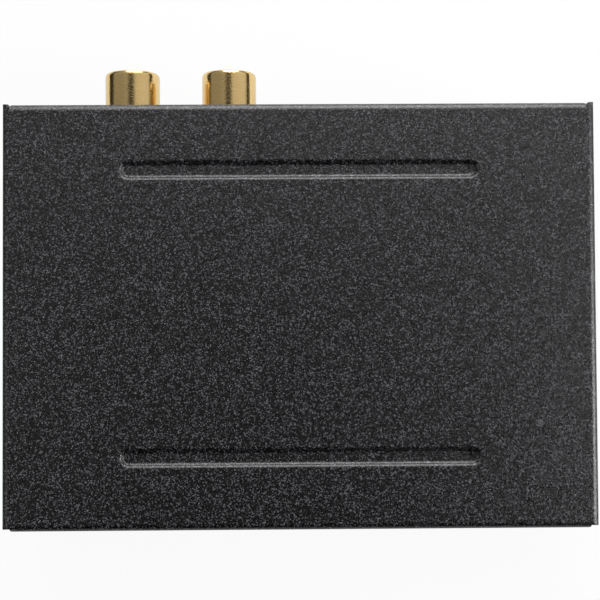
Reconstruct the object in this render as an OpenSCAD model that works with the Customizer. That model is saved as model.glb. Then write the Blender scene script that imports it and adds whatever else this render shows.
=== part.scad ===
// Small sheet steel box that splits the sound from a digital video signal.
// X runs to the right, Y to the rear, Z up, and the feet stand on z = 0.
// The origin is under the middle of the whole box, audio jacks and switch lever included.

/* [Case] */
// Width of the case over its side walls
case_w = 88; // [74:1:110]
// Depth of the case from its front lip to its rear lip
case_d = 63.1; // [61:0.1:80]
// Height of the case without its feet
case_h = 20; // [19.5:0.5:26]
// Thickness of the sheet steel
sheet_t = 0.8; // [0.6:0.1:0.9]
// Outer radius of every bend in the sheet
bend_r = 1; // [1:0.1:1.4]
// Height of the cover's front and rear lips
lip_h = 2.5; // [1.5:0.1:3]

/* [Pressed channels] */
// Length of a channel over its round ends
channel_len = 53.6; // [30:0.2:66]
// Distance between the centre lines of the two channels
channel_spacing = 42.5; // [20:0.1:50]
// How far the channels' middle lies behind the case's middle
channel_shift = 0.4; // [-1:0.05:1]
// Width of a channel's flat floor
channel_floor_w = 1.3; // [1:0.1:4]
// Depth of a channel below the cover's top face
channel_depth = 0.5; // [0.3:0.05:0.7]
// Radius at the head and at the foot of a channel's sloping walls
channel_edge_r = 0.5; // [0.4:0.02:0.8]

/* [Feet] */
// Height of a rubber foot
foot_h = 2; // [1.5:0.1:5]
// Radius of a rubber foot
foot_r = 4; // [3:0.5:6]
// Distance of a foot's centre from the case's outer faces
foot_inset = 9; // [7:0.5:14]

/* [Circuit board] */
// Thickness of the board
board_t = 1.6; // [1:0.1:2]
// Height of the standoffs under the board
standoff_h = 3.2; // [2.8:0.1:4]
// Gap between the board's side edges and the case's outer faces
board_side_gap = 4; // [3.5:0.1:5]
// Distance between the front and the rear board screws
board_screw_pitch = 22; // [16:1:24]

/* [Audio jacks] */
// Outer diameter of a jack's barrel
barrel_d = 8.4; // [8:0.1:8.6]
// Distance between the axes of the two jacks
audio_pitch = 15; // [13.5:0.5:18]
// How far the barrels stand out behind the case
barrel_reach = 6.2; // [4:0.05:9]
// Distance of the jacks' middle from the case's left side
audio_inset = 25.75; // [24:0.25:28]
// Height of the barrels' axes above the board
audio_axis_h = 5.4; // [5.2:0.1:6]

/* [Rear panel] */
// Distance of the video output socket's middle from the case's right side
video_out_inset = 15.5; // [13:0.5:18]

/* [Front panel] */
// Distance of the power jack's middle from the case's left side
power_inset = 15; // [12.5:0.5:16]
// Distance of the power lamp from the power jack
lamp_spacing = 9.5; // [8:0.5:10]
// Distance of the mode switch from the power lamp
switch_spacing = 12.5; // [11:0.5:14]
// Distance of the video input socket's middle from the case's right side
video_in_inset = 18; // [14:0.5:22]
// How far the switch lever stands out in front of the case
lever_reach = 1; // [0.5:0.1:2]
// Travel of the switch lever from one end position to the other
switch_travel = 4; // [3:0.5:5]

/* [Hidden] */
$fn = 48;

// Length by which every cut runs past the face it opens
overrun = 1;
// Gap round a piece that is seated in another
seat_gap = 0.05;
// Gap between the cover's sheet and the tray's sheet
sheet_gap = 0.1;
// Gap round a connector where it passes through a panel
panel_gap = 0.15;
// Gap between two pieces that move past each other
moving_gap = 0.1;
// Gap round a lead in its hole in the board
lead_gap = 0.15;
// Length of a lead below the board
lead_out = 1.2;
// Flat steps in each small rounded corner
corner_steps = 4;

// Width of the slots that relieve the cover's corners
relief_w = 0.4;
// Depth of those slots, measured in from the lips' outer faces
relief_d = 0.4;
// Radius of the lips' ends, seen from above
lip_corner_r = 0.35;
// How much further to the rear the side walls stand than the lips
wall_shift = 0.22;
// How much shorter the side walls are than the case
wall_short = 0.3;
// Radius of the side walls' upper corners
wall_corner_r = 0.5;
// Height of the side walls' lower edges above the tray's underside
wall_lift = 0.2;
// Height of the low flanges along the tray's sides
flange_h = 3.6;
// Gap between those flanges and the tray's panels
flange_gap = 0.6;

// Length of a tab that takes a cover screw
tab_w = 10;
// Radius of a tab's upper corners
tab_corner_r = 2.5;
// Height of a tab above its screw's axis
tab_over_screw = 3.6;
// Distance of the cover screws from the case's middle, towards the front and the rear
tab_y_share = 0.3;
// Height of the cover screws' axes above the tray's underside
cover_screw_h = 10.6;
// Radius of the threaded collar that is drawn out of a tab
collar_r = 2.2;
// Height of that collar
collar_h = 0.9;

// Radius of the screws' shanks
screw_r = 1.5;
// Radius of the screws' heads
screw_head_r = 2.7;
// Height of the straight rim of a countersunk head
screw_land = 0.15;
// Length of the cover screws
cover_screw_len = 5.5;
// Length of the board screws below their heads
board_screw_len = 4.4;
// Height of the board screws' domed heads
screw_head_h = 1.9;
// Rim height of a domed head, before its dome begins
screw_rim_h = 0.9;
// Width of the arms of the screws' cross recess
cross_arm_w = 0.6;
// Length of those arms from end to end
cross_arm_len = 2.8;
// Depth of the cross recess
cross_depth = 0.9;

// Radius of the rounded lower edge of a foot
foot_edge_r = 0.5;
// How much smaller a foot is at its lower edge than where it is stuck on
foot_taper = 0.3;

// Width across the flats of a standoff
standoff_flats = 5;
// Radius of the neck that is pressed into the tray
standoff_neck_r = 2.1;
// Radius of the holes for the board screws
board_hole_r = 1.6;
// Distance of those holes from the board's side edges
board_hole_inset = 4;
// Gap between the board and the inner faces of the panels
board_end_gap = 0.3;
// Radius of the board's corners
board_corner_r = 1.2;

// Wall of a barrel
barrel_wall = 0.65;
// Wall that the rounding at a barrel's mouth takes away
barrel_round = 0.4;
// Length of that rounding
barrel_round_len = 0.6;
// Thickness of the flange that stops a barrel behind the panel
barrel_flange_t = 0.6;
// Height of that flange over the barrel
barrel_flange_over = 0.8;
// Height of the shoulder that centres a barrel in the panel
barrel_shoulder_over = 0.3;
// Length of that shoulder in front of the panel
barrel_shoulder_out = 0.5;
// Length of the barrel's tail inside the housing
barrel_tail = 3;
// Distance of the insulator's face behind the barrel's mouth
insulator_recess = 0.7;
// Length of an insulator inside the housing
insulator_tail = 7.6;
// Radius of the bore that takes the plug's pin
contact_bore_r = 1.6;
// Wall of the centre contact
contact_wall = 0.45;
// Width of the two slits that make the contact springy
contact_slit_w = 0.4;
// Length of those slits
contact_slit_len = 5;
// Radius of the funnel at the insulator's mouth, over the contact
funnel_over = 0.25;
// Width of the solder tails of an audio jack
audio_tail_w = 1.2;
// Thickness of those tails
audio_tail_t = 0.5;
// Width of the housing's body round each jack
audio_cell_w = 11;
// Depth of the housing
audio_housing_d = 10.4;
// Wall of the housing above the flange's radius
audio_roof = 0.35;
// Bevel along the housing's upper edges
audio_bevel = 1.2;
// Height of the web between the two bodies
audio_web_share = 0.6;
// Radius of the pegs that locate the housing in the board
peg_r = 0.8;
// Length of those pegs
peg_len = 1.4;

// Inner width of a video socket's shell
video_w = 14;
// Inner height of a video socket's shell
video_h = 4.55;
// Inner width of the shell's floor
video_floor_w = 10.2;
// Height of the shell's upright sides
video_side_h = 2.5;
// Radius of the shell's inner corners
video_corner_r = 0.5;
// Wall of the shell
video_wall = 0.3;
// Length of the shell behind the panel's outer face
video_d = 11.5;
// How far the shell stands out of the panel
video_nose = 0.5;
// Height of the rim turned out round the shell's mouth
video_rim_over = 0.3;
// Length of that rim
video_rim_t = 0.3;
// Width of the spring tongues cut from the shell
video_spring_w = 2;
// Length of those tongues
video_spring_len = 4.6;
// Width of the cut round a tongue
video_spring_cut = 0.4;
// Distance of the tongues from the socket's middle
video_spring_x = 3.2;
// Distance of the shell's front legs behind the panel's outer face
video_leg_front = 3;
// Distance of its rear legs
video_leg_rear = 9;
// Width of a leg
video_leg_w = 1.2;
// Width of the insulating tongue that carries the contacts
video_tongue_w = 11.4;
// Thickness of that tongue
video_tongue_t = 1;
// Height of the tongue's middle above the socket's middle
video_tongue_up = 0.45;
// Distance of the tongue's end behind the panel's outer face
video_tongue_in = 0.9;
// Length of the insert's block inside the shell
video_block_d = 3.4;
// Length of the insert's foot behind the shell
video_foot_d = 2.2;
// Pitch of the contacts in each of their two rows
video_pitch = 1;
// Contacts in the upper row, one more than in the lower row
video_row = 10;
// Width of a contact
video_contact_w = 0.35;
// Thickness of a contact
video_contact_t = 0.2;
// Length of the solder feet behind the insert
video_solder = 0.9;

// Width of the optical socket's housing
optical_w = 9.8;
// Depth of that housing behind the panel's outer face
optical_d = 13.6;
// Height of that housing
optical_h = 10.2;
// How far it stands out of the panel
optical_nose = 0.3;
// Thickness of the plate round the mouth
optical_plate_t = 0.5;
// Width of the mouth
optical_mouth_w = 6.6;
// Height of the mouth
optical_mouth_h = 6.4;
// Bevel of the mouth's two upper corners
optical_mouth_bevel = 1.5;
// Height of the socket's floor above the board
optical_floor = 1;
// Height of the mouth's lower edge over the socket's floor
optical_sill = 0.3;
// Width of the space behind the mouth
optical_hollow_w = 7.3;
// Height of that space
optical_hollow_h = 8.3;
// Depth of that space behind the panel's outer face
optical_hollow_d = 9.3;
// Bevel along the housing's upper edges
optical_bevel = 0.6;
// Radius of the light bore at the back
light_bore_r = 1.6;
// Thickness of the wall that the light bore runs through
light_wall = 0.8;
// Size of the latch pockets in the socket's side walls
latch_pocket = 1.6;
// Depth of a latch pocket
latch_pocket_d = 0.5;

// Thickness of the shutter
shutter_t = 0.8;
// Gap between the shutter and the plate in front of it
shutter_front_gap = 0.25;
// Gap round the raised pad that fills the mouth
shutter_pad_gap = 0.3;
// Height of that pad
shutter_pad_t = 0.4;
// Distance of the shutter's pivot below the hollow's ceiling
pivot_drop = 1;
// Radius of the shutter's pivot
pivot_r = 0.4;
// Radius of the hub round the pivot
pivot_hub_r = 0.6;
// Length of the pivot inside each side wall
pivot_in = 0.5;
// Thickness of the leaf spring that closes the shutter
leaf_t = 0.15;
// Width of that leaf
leaf_w = 2;
// Length of the leaf along the ceiling
leaf_len = 5;
// Length of its end that is bent down behind the shutter
leaf_bend = 1.5;

// Size of the emitter's moulded body: width, depth and height
emitter_size = [5.8, 2.9, 6.6];
// Height of that body above the board
emitter_lift = 0.6;
// Radius of the emitter's lens
lens_r = 1.4;
// Pitch of the emitter's three leads
emitter_pitch = 2.54;
// Thickness of a square lead
lead_t = 0.5;

// Width of the power jack's housing
power_w = 9;
// Height of that housing
power_h = 10.6;
// Depth of that housing behind the panel's outer face
power_d = 14;
// Radius of the upper corners of its square front part
power_corner_r = 1;
// Depth of its square front part
power_front_d = 3.4;
// Height of the jack's axis above the board
power_axis_h = 6.2;
// Radius of the round nose in the panel
power_nose_r = 3.9;
// How far that nose stands out of the panel
power_nose = 0.2;
// Radius of the bore for the plug
power_bore_r = 3.15;
// Depth of that bore behind the panel's outer face
power_bore_d = 9.8;
// Radius of the housing's round rear part
power_back_r = 4;
// Height of the solid base under the round part
power_base_h = 3;
// Radius of the centre pin
power_pin_r = 1;
// Radius of its thicker root in the housing
power_root_r = 1.25;
// Distance of the pin's tip behind the panel's outer face
power_pin_in = 1;
// Bevel of the pin's tip
power_pin_bevel = 0.3;
// Width of the jack's solder tabs
power_tab_w = 2.2;
// Thickness of those tabs
power_tab_t = 0.5;
// Thickness of the jack's leaf contact
power_leaf_t = 0.3;
// Width of the leaf contact
power_leaf_w = 2;
// How far the leaf bows into the bore
power_leaf_bow = 0.6;
// Depth of the channel that holds the leaf, below the bore
power_leaf_seat = 0.7;

// Size of the switch's frame: width, depth and height
switch_size = [12.6, 5.6, 5];
// Distance of the frame behind the panel
switch_setback = 0.15;
// Wall of the pressed frame
switch_wall = 0.3;
// Depth of the moulded base at the back
switch_base_d = 1.8;
// Width and height of the lever
lever_size = [1.9, 1.6];
// Number of grooves across the lever's end
lever_grooves = 3;
// Width and depth of a groove
lever_groove = 0.25;
// Gap round the lever in its windows
lever_gap = 0.3;
// Width and height of the slider inside the frame
slider_size = [5.4, 3.4];
// Number of the switch's leads
switch_leads = 4;
// Pitch of those leads
switch_pitch = 2;

// Radius of the lamp's lens
lamp_r = 1.5;
// Height of the lamp's axis above the board
lamp_axis_h = 4.4;
// How far the lamp's dome stands out of the panel
lamp_nose = 0.9;
// Distance of the lamp's base behind the panel's outer face
lamp_d = 4.4;
// Radius of the lamp's flange
lamp_flange_r = 1.9;
// Length of that flange
lamp_flange_t = 1;
// Distance of the lamp's leads from its axis
lamp_lead_x = 1.27;
// Distance from the lamp's base to where its leads turn down
lamp_lead_run = 1.6;

// Size of the processor's moulded body: width, depth and height
processor_size = [12, 12, 1.4];
// Leads on each side of the processor
processor_leads = 16;
// Size of the audio chip
audio_chip_size = [8.7, 3.9, 1.4];
// Leads on each long side of the audio chip
audio_chip_leads = 7;
// Size of the memory chip
memory_size = [4.9, 3.9, 1.4];
// Leads on each long side of the memory chip
memory_leads = 4;
// Gap under the chips' bodies
chip_lift = 0.15;
// How far the chips' leads reach past their bodies
chip_lead_reach = 1.1;
// Thickness of the chips' leads
chip_lead_t = 0.2;
// Radius of the round mark in a chip's corner
chip_mark_r = 0.4;
// Distance of that mark from the chip's sides
chip_mark_in = 0.9;
// Share of a lead's pitch that its width takes
chip_lead_share = 0.5;
// Share of a chip's side along which its leads stand
chip_row_share = 0.88;
// Size of the voltage regulator
regulator_size = [6.5, 3.5, 1.6];
// Width and reach of the regulator's cooling tab
regulator_tab = [3, 1.7];
// Number of the regulator's leads
regulator_leads = 3;
// Size of the crystal's can over its round ends
crystal_size = [11, 4.5, 3.4];
// Height of the crystal's rim
crystal_rim_h = 0.5;
// How far that rim stands out
crystal_rim_over = 0.3;
// Size of the inductor
inductor_size = [6, 6, 2.8];
// Bevel of the inductor's corners
inductor_bevel = 1.4;
// Radius of the winding's core face
inductor_core_r = 2.2;
// Depth of the ring round that core face
inductor_ring_d = 0.4;
// Width of that ring
inductor_ring_w = 0.4;
// Radius of the filter capacitors
capacitor_r = 2.5;
// Height of the filter capacitors
capacitor_h = 5.4;
// Height of a capacitor's moulded base
capacitor_base_h = 0.6;
// Bevel of that base's corners
capacitor_base_bevel = 0.8;
// Depth of the bead rolled round a capacitor's can
capacitor_bead = 0.25;
// Size of a chip resistor
resistor_size = [1.6, 0.8, 0.5];
// Pitch of the resistors in a row
resistor_pitch = [2.4, 2];
// Rows and columns of resistors
resistor_grid = [6, 2];

// Places of the parts on the board, as shares of its width and depth from its middle
processor_place_share = [0.12, -0.06];
audio_chip_place_share = [-0.17, 0.12];
memory_place_share = [0.35, -0.06];
regulator_place_share = [-0.34, -0.09];
crystal_place_share = [0.27, 0.17];
inductor_place_share = [-0.2, -0.09];
capacitor_place_shares = [[-0.35, 0.12], [-0.06, -0.13], [0.45, 0.09]];
resistor_place_share = [0.01, 0.12];

// Heights of the tray's floor, the board and the case's top
tray_floor_z = foot_h + sheet_t;
board_z = tray_floor_z + standoff_h;
board_top_z = board_z + board_t;
case_top_z = foot_h + case_h;
// The case stands towards the front, so that the jacks and the lever share the middle
case_y = (lever_reach - barrel_reach) / 2;
// Half width of the tray, and the distance of its panels' outer faces from the case's middle
tray_half_w = case_w / 2 - sheet_t - sheet_gap;
panel_y = case_d / 2 - sheet_t - sheet_gap;
// Distance from a panel's outer face to the case's outline
lip_depth = case_d / 2 - panel_y;
// Radius of the inner faces of the bends
inner_bend_r = bend_r - sheet_t;
// Half length of the front and rear lips
lip_half = case_w / 2 - sheet_t - relief_w;
// Places of the connectors along the panels
audio_x = audio_inset - case_w / 2;
video_out_x = case_w / 2 - video_out_inset;
power_x = power_inset - case_w / 2;
lamp_x = power_x + lamp_spacing;
switch_x = lamp_x + switch_spacing;
video_in_x = case_w / 2 - video_in_inset;
// Half width of a video socket over its rim
video_half = video_w / 2 + video_wall + video_rim_over;
// The optical socket stands midway between the audio jacks and the video output socket
optical_x = (audio_x + (audio_pitch + audio_cell_w) / 2 + video_out_x - video_half) / 2;
// Half of the board's width and depth
board_half = [case_w / 2 - board_side_gap, panel_y - sheet_t - board_end_gap];
// The board's screw holes
board_screw_x = board_half.x - board_hole_inset;
// Slope of a channel's walls halfway up
channel_angle = acos(1 - channel_depth / (2 * channel_edge_r));
// Half widths of a channel at its floor, halfway up and at the cover's top face
channel_floor = channel_floor_w / 2;
channel_middle = channel_floor + channel_edge_r * sin(channel_angle);
channel_half = 2 * channel_middle - channel_floor;

// Radii along an audio jack
barrel_r = barrel_d / 2;
barrel_bore_r = barrel_r - barrel_wall;
barrel_tip = lip_depth + barrel_reach;
audio_face = -sheet_t - barrel_flange_t;
audio_back = audio_face - audio_housing_d;
insulator_back = audio_face - insulator_tail;
contact_r = contact_bore_r + contact_wall;

// Heights in a video socket
video_axis_h = video_h / 2 + video_wall;
tongue_z = video_axis_h + video_tongue_up;
video_back = -video_d - video_foot_d;
// Contacts in the lower row
video_lower_row = video_row - 1;
// A video shell's inner outline, seen from the front, round its own middle
video_outline = [
  [-video_w / 2, video_h / 2],
  [-video_w / 2, video_h / 2 - video_side_h],
  [-video_floor_w / 2, -video_h / 2],
  [video_floor_w / 2, -video_h / 2],
  [video_w / 2, video_h / 2 - video_side_h],
  [video_w / 2, video_h / 2]
];

// Places in the optical socket
optical_plate_back = optical_nose - optical_plate_t;
optical_ceiling = optical_floor + optical_hollow_h;
mouth_low = optical_floor + optical_sill;
mouth_high = mouth_low + optical_mouth_h;
pivot_z = optical_ceiling - pivot_drop;
pivot_y = optical_plate_back - shutter_front_gap - shutter_t / 2;
// The mouth's outline, seen from outside
mouth_outline = [
  [-optical_mouth_w / 2, mouth_low],
  [optical_mouth_w / 2, mouth_low],
  [optical_mouth_w / 2, mouth_high - optical_mouth_bevel],
  [optical_mouth_w / 2 - optical_mouth_bevel, mouth_high],
  [-optical_mouth_w / 2 + optical_mouth_bevel, mouth_high],
  [-optical_mouth_w / 2, mouth_high - optical_mouth_bevel]
];

// Places in the switch
switch_front = -sheet_t - switch_setback;
switch_back = switch_front - switch_size.y;
switch_axis_h = switch_size.z / 2;
slider_front = switch_front - switch_wall - moving_gap;
slider_back = switch_back + switch_base_d + moving_gap;
lever_tip = lip_depth + lever_reach;
window_half = (switch_travel + lever_size.x) / 2 + lever_gap;
window_h = lever_size.y + 2 * lever_gap;

// Colours of the sheet steel, the plating, the mouldings, the tinned metal and the board
STEEL = "#232427";
GOLD = "#c99b4e";
BLACK = "#17181a";
TIN = "#b9bcbf";
BOARD = "#1f6b3a";

function unit(v) = v / norm(v);
function half_sine(u, v) = sqrt((1 - u * v) / 2);
function around(points, i) = points[(i + len(points)) % len(points)];
// An angle brought between half a turn back and half a turn on
function short_turn(a) = a > 180 ? a - 360 : a < -180 ? a + 360 : a;

// The corner between two edges as an arc that meets both
function corner_arc(before, corner, after, r) =
  r == 0 ? [corner] :
  let (
    u = unit(before - corner),
    v = unit(after - corner),
    half = asin(half_sine(u, v)),
    start = corner + u * r / tan(half),
    end = corner + v * r / tan(half),
    centre = corner + unit(u + v) * r / sin(half),
    from = atan2(start.y - centre.y, start.x - centre.x),
    to = atan2(end.y - centre.y, end.x - centre.x),
    turn = short_turn(to - from)
  )
  [for (k = [0:corner_steps])
    centre + r * [cos(from + turn * k / corner_steps), sin(from + turn * k / corner_steps)]];

// An outline with its corners rounded by the radii given for them
function rounded(points, radii) =
  [for (i = [0:len(points) - 1])
    each corner_arc(around(points, i - 1), points[i], around(points, i + 1), radii[i])];

// A convex outline moved out by a distance
function grown(points, by) =
  [for (i = [0:len(points) - 1])
    let (
      u = unit(around(points, i - 1) - points[i]),
      v = unit(around(points, i + 1) - points[i])
    )
    points[i] - unit(u + v) * by / half_sine(u, v)];

// A rectangle from its two ranges
function rectangle(x, y) = [[x[0], y[0]], [x[1], y[0]], [x[1], y[1]], [x[0], y[1]]];
function span(middle, half) = [middle - half, middle + half];
function both(half) = span(0, half);

// A block between two planes on each axis
module block(x, y, z) {
  translate([x[0], y[0], z[0]])
    cube([x[1] - x[0], y[1] - y[0], z[1] - z[0]]);
}

// An outline in Y and Z, carried along X
module along_x(x) {
  translate([x[0], 0, 0])
    rotate([90, 0, 90])
      linear_extrude(x[1] - x[0])
        children();
}

// An outline in X and Z, carried along Y
module along_y(y) {
  translate([0, y[1], 0])
    rotate([90, 0, 0])
      linear_extrude(y[1] - y[0])
        children();
}

module rod_x(r, x) {
  translate([x[0], 0, 0])
    rotate([0, 90, 0])
      cylinder(r = r, h = x[1] - x[0]);
}

module rod_y(r, y) {
  translate([0, y[0], 0])
    rotate([-90, 0, 0])
      cylinder(r = r, h = y[1] - y[0]);
}

module rod_z(r, z) {
  translate([0, 0, z[0]])
    cylinder(r = r, h = z[1] - z[0]);
}

// A profile of radii and places turned round the Y axis
module turned_y(profile) {
  rotate([-90, 0, 0])
    rotate_extrude()
      polygon(profile);
}

// A form on the right side, as it is there or mirrored to the left
module on_side(side) {
  if (side < 0)
    mirror([1, 0, 0])
      children();
  else
    children();
}

module on_both_sides() {
  for (side = [-1, 1])
    on_side(side)
      children();
}

// The case's own middle, on the ground
module in_case() {
  translate([0, case_y, 0])
    children();
}

// A connector's place: the outer face of its panel, on top of the board, looking out along +Y
module at_rear(x) {
  translate([x, case_y + panel_y, board_top_z])
    children();
}

module at_front(x) {
  translate([x, case_y - panel_y, board_top_z])
    rotate([0, 0, 180])
      children();
}

// A square lead that runs down through the board, wider by a gap where it is a hole
module square_lead(top, gap) {
  half = lead_t / 2 + gap;
  block(both(half), both(half), [-board_t - lead_out - gap, top]);
}

// A part's place on top of the board
module on_board(share) {
  translate([2 * share.x * board_half.x, case_y + 2 * share.y * board_half.y, board_top_z])
    children();
}

// A block outline whose two upper corners are bent round, its top at height 0
module bent_outline(half, drop, r) {
  translate([-half, -drop])
    square([2 * half, drop - r]);
  translate([-half + r, -drop])
    square([2 * (half - r), drop]);
  for (side = [-1, 1])
    translate([side * (half - r), -r])
      circle(r);
}

// The section of a sheet with both its edges bent down
module bent_sheet(half, drop) {
  difference() {
    bent_outline(half, drop, bend_r);
    translate([0, -sheet_t])
      bent_outline(half - sheet_t, drop - sheet_t + overrun, inner_bend_r);
  }
}

// A channel's wall from its foot to its head: hollow in the lower half, round in the upper
function channel_wall() = concat(
  [for (k = [0:corner_steps])
    let (a = channel_angle * k / corner_steps)
    [channel_floor + channel_edge_r * sin(a), channel_edge_r * (1 - cos(a)) - channel_depth]],
  [for (k = [corner_steps - 1:-1:0])
    let (a = channel_angle * k / corner_steps)
    [channel_half - channel_edge_r * sin(a), channel_edge_r * (cos(a) - 1)]]
);

// Half of a channel's section, from its middle out to its head
function channel_profile() = concat(
  [[0, overrun], [0, -channel_depth]],
  channel_wall(),
  [[channel_half, overrun]]
);

// The sheet that a channel pushes out below the cover
function channel_back() = [
  [0, -sheet_t / 2],
  [0, -sheet_t - channel_depth],
  [channel_floor + sheet_t / 2, -sheet_t - channel_depth],
  [channel_half, -sheet_t],
  [channel_half, -sheet_t / 2]
];

// A half section carried along a channel and round its two ends
module channel_form(profile) {
  run = channel_len / 2 - channel_half;
  for (turn = [0, 180])
    rotate([0, 0, turn]) {
      along_x(both(run))
        polygon(profile);
      translate([run, 0, 0])
        rotate([0, 0, -90])
          rotate_extrude(angle = 180)
            polygon(profile);
    }
}

module at_channels() {
  for (side = [-1, 1])
    translate([0, channel_shift + side * channel_spacing / 2, case_top_z])
      children();
}

module at_cover_screws() {
  for (end = [-1, 1])
    translate([0, end * tab_y_share * case_d, foot_h + cover_screw_h])
      on_both_sides()
        children();
}

// A countersunk screw in the right side wall. Its hole is wider by a gap and runs on past both ends.
module countersunk(gap, past) {
  translate([case_w / 2, 0, 0])
    rotate([0, -90, 0])
      rotate_extrude()
        polygon([
          [0, -past],
          [screw_head_r + gap, -past],
          [screw_head_r + gap, screw_land],
          [screw_r + gap, screw_land + screw_head_r - screw_r],
          [screw_r + gap, cover_screw_len + past],
          [0, cover_screw_len + past]
        ]);
}

module cross_recess(top) {
  for (turn = [0, 90])
    rotate([0, 0, turn])
      block(both(cross_arm_len / 2), both(cross_arm_w / 2), [top - cross_depth, top + overrun]);
}

// The cover's flat top and side walls, cut back where the front and rear lips stand
module cover_walls() {
  half_d = case_d / 2;
  cut_z = [-case_h, overrun];
  difference() {
    intersection() {
      along_y(both(case_d))
        bent_sheet(case_w / 2, case_h - wall_lift);
      translate([0, wall_shift, 0])
        along_x(both(case_w))
          bent_outline(half_d - wall_short / 2, case_h, wall_corner_r);
    }
    for (turn = [0, 180])
      rotate([0, 0, turn]) {
        block(both(case_w / 2 - sheet_t), [half_d - relief_d, half_d + overrun], cut_z);
        block(both(lip_half), [half_d - bend_r, half_d], cut_z);
      }
  }
}

// The front and rear lips with the sheet between them, rounded at their ends
module cover_lips() {
  half_d = case_d / 2;
  intersection() {
    along_x(both(lip_half))
      bent_sheet(half_d, lip_h);
    translate([0, 0, -case_h])
      linear_extrude(case_h + overrun) {
        square([2 * (lip_half - lip_corner_r), case_d + overrun], center = true);
        square([2 * lip_half, case_d - 2 * lip_corner_r], center = true);
        for (x = [-1, 1], y = [-1, 1])
          translate([x * (lip_half - lip_corner_r), y * (half_d - lip_corner_r)])
            circle(lip_corner_r);
      }
  }
}

module top_cover() {
  color(STEEL)
    in_case()
      difference() {
        union() {
          translate([0, 0, case_top_z]) {
            cover_walls();
            cover_lips();
          }
          at_channels()
            channel_form(channel_back());
        }
        at_channels()
          channel_form(channel_profile());
        at_cover_screws()
          countersunk(seat_gap, overrun);
      }
}

// The tray's panels and floor, before any hole is cut
module tray_blank() {
  tray_h = case_h - sheet_t - sheet_gap;
  flange_end = panel_y - sheet_t - flange_gap;
  notch = bend_r + flange_gap;
  translate([0, 0, foot_h])
    mirror([0, 0, 1]) {
      difference() {
        along_x(both(tray_half_w))
          bent_sheet(panel_y, tray_h);
        for (x = [-1, 1], y = [-1, 1])
          translate([x * tray_half_w, y * panel_y, 0])
            block(both(notch), both(notch), [-notch, overrun]);
      }
      along_y(both(flange_end))
        bent_sheet(tray_half_w, flange_h);
    }
}

// The tab that takes a cover screw on the right side
module screw_tab() {
  along_x([tray_half_w - sheet_t, tray_half_w])
    polygon(rounded(
      rectangle(both(tab_w / 2), [flange_h - cover_screw_h - bend_r, tab_over_screw]),
      [0, 0, tab_corner_r, tab_corner_r]
    ));
  rod_x(collar_r, [tray_half_w - sheet_t - collar_h, tray_half_w]);
}

module base_tray() {
  through = [-sheet_t - overrun, overrun];
  color(STEEL)
    difference() {
      in_case() {
        tray_blank();
        at_cover_screws()
          screw_tab();
      }
      in_case() {
        at_cover_screws()
          countersunk(seat_gap, overrun);
        at_board_screws()
          rod_z(standoff_neck_r + seat_gap, [foot_h - overrun, tray_floor_z + overrun]);
      }
      at_rear(audio_x)
        at_audio_axes()
          rod_y(barrel_r + barrel_shoulder_over + panel_gap, through);
      at_rear(video_out_x)
        video_window();
      at_front(video_in_x)
        video_window();
      at_rear(optical_x)
        block(both(optical_w / 2 + panel_gap), through, [-panel_gap, optical_h + panel_gap]);
      at_front(power_x)
        translate([0, 0, power_axis_h])
          rod_y(power_nose_r + panel_gap, through);
      at_front(lamp_x)
        translate([0, 0, lamp_axis_h])
          rod_y(lamp_r + panel_gap, through);
      at_front(switch_x)
        translate([0, 0, switch_axis_h])
          block(both(window_half), through, both(window_h / 2));
    }
}

module cover_screws() {
  color(BLACK)
    in_case()
      at_cover_screws()
        difference() {
          countersunk(0, 0);
          translate([case_w / 2, 0, 0])
            rotate([0, 90, 0])
              cross_recess(0);
        }
}

// A foot's half section: stuck on flat, slightly tapered, rounded at its lower edge
function foot_profile() =
  rounded(
    [[0, 0], [foot_r - foot_taper, 0], [foot_r, foot_h], [0, foot_h]],
    [0, foot_edge_r, 0, 0]
  );

module foot(x, y) {
  color(BLACK)
    in_case()
      translate([x * (case_w / 2 - foot_inset), y * (case_d / 2 - foot_inset), 0])
        rotate_extrude()
          polygon(foot_profile());
}

module at_board_screws() {
  for (x = [-1, 1], y = [-1, 1])
    translate([x * board_screw_x, y * board_screw_pitch / 2, 0])
      children();
}

module board_standoffs() {
  color(GOLD)
    in_case()
      at_board_screws()
        difference() {
          union() {
            translate([0, 0, tray_floor_z])
              cylinder(d = standoff_flats / cos(30), h = standoff_h, $fn = 6);
            rod_z(standoff_neck_r, [foot_h, board_z - standoff_h / 2]);
          }
          rod_z(screw_r + seat_gap, [foot_h - overrun, board_z + overrun]);
        }
}

// A domed screw head's half section
function dome_profile() =
  rounded(
    [[0, 0], [screw_head_r, 0], [screw_head_r, screw_head_h], [0, screw_head_h]],
    [0, 0, screw_head_h - screw_rim_h, 0]
  );

module board_screws() {
  color(TIN)
    in_case()
      at_board_screws()
        difference() {
          union() {
            translate([0, 0, board_top_z])
              rotate_extrude()
                polygon(dome_profile());
            rod_z(screw_r, [board_top_z - board_screw_len, board_top_z + screw_rim_h]);
          }
          cross_recess(board_top_z + screw_head_h);
        }
}

module circuit_board() {
  corners = rectangle(both(board_half.x), both(board_half.y));
  color(BOARD)
    difference() {
      in_case()
        translate([0, 0, board_z])
          linear_extrude(board_t)
            polygon(rounded(corners, [for (p = corners) board_corner_r]));
      in_case()
        at_board_screws()
          rod_z(board_hole_r, [board_z - overrun, board_top_z + overrun]);
      at_rear(audio_x) {
        audio_pegs(lead_gap, board_t + overrun);
        at_audio_axes()
          audio_tails(lead_gap);
      }
      at_rear(video_out_x)
        video_legs(lead_gap);
      at_front(video_in_x)
        video_legs(lead_gap);
      at_rear(optical_x) {
        optical_pegs(lead_gap, board_t + overrun);
        emitter_leads(lead_gap);
      }
      at_front(power_x)
        power_tabs(lead_gap);
      at_front(switch_x)
        switch_legs(lead_gap);
      at_front(lamp_x)
        lamp_legs(lead_gap);
    }
}

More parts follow.
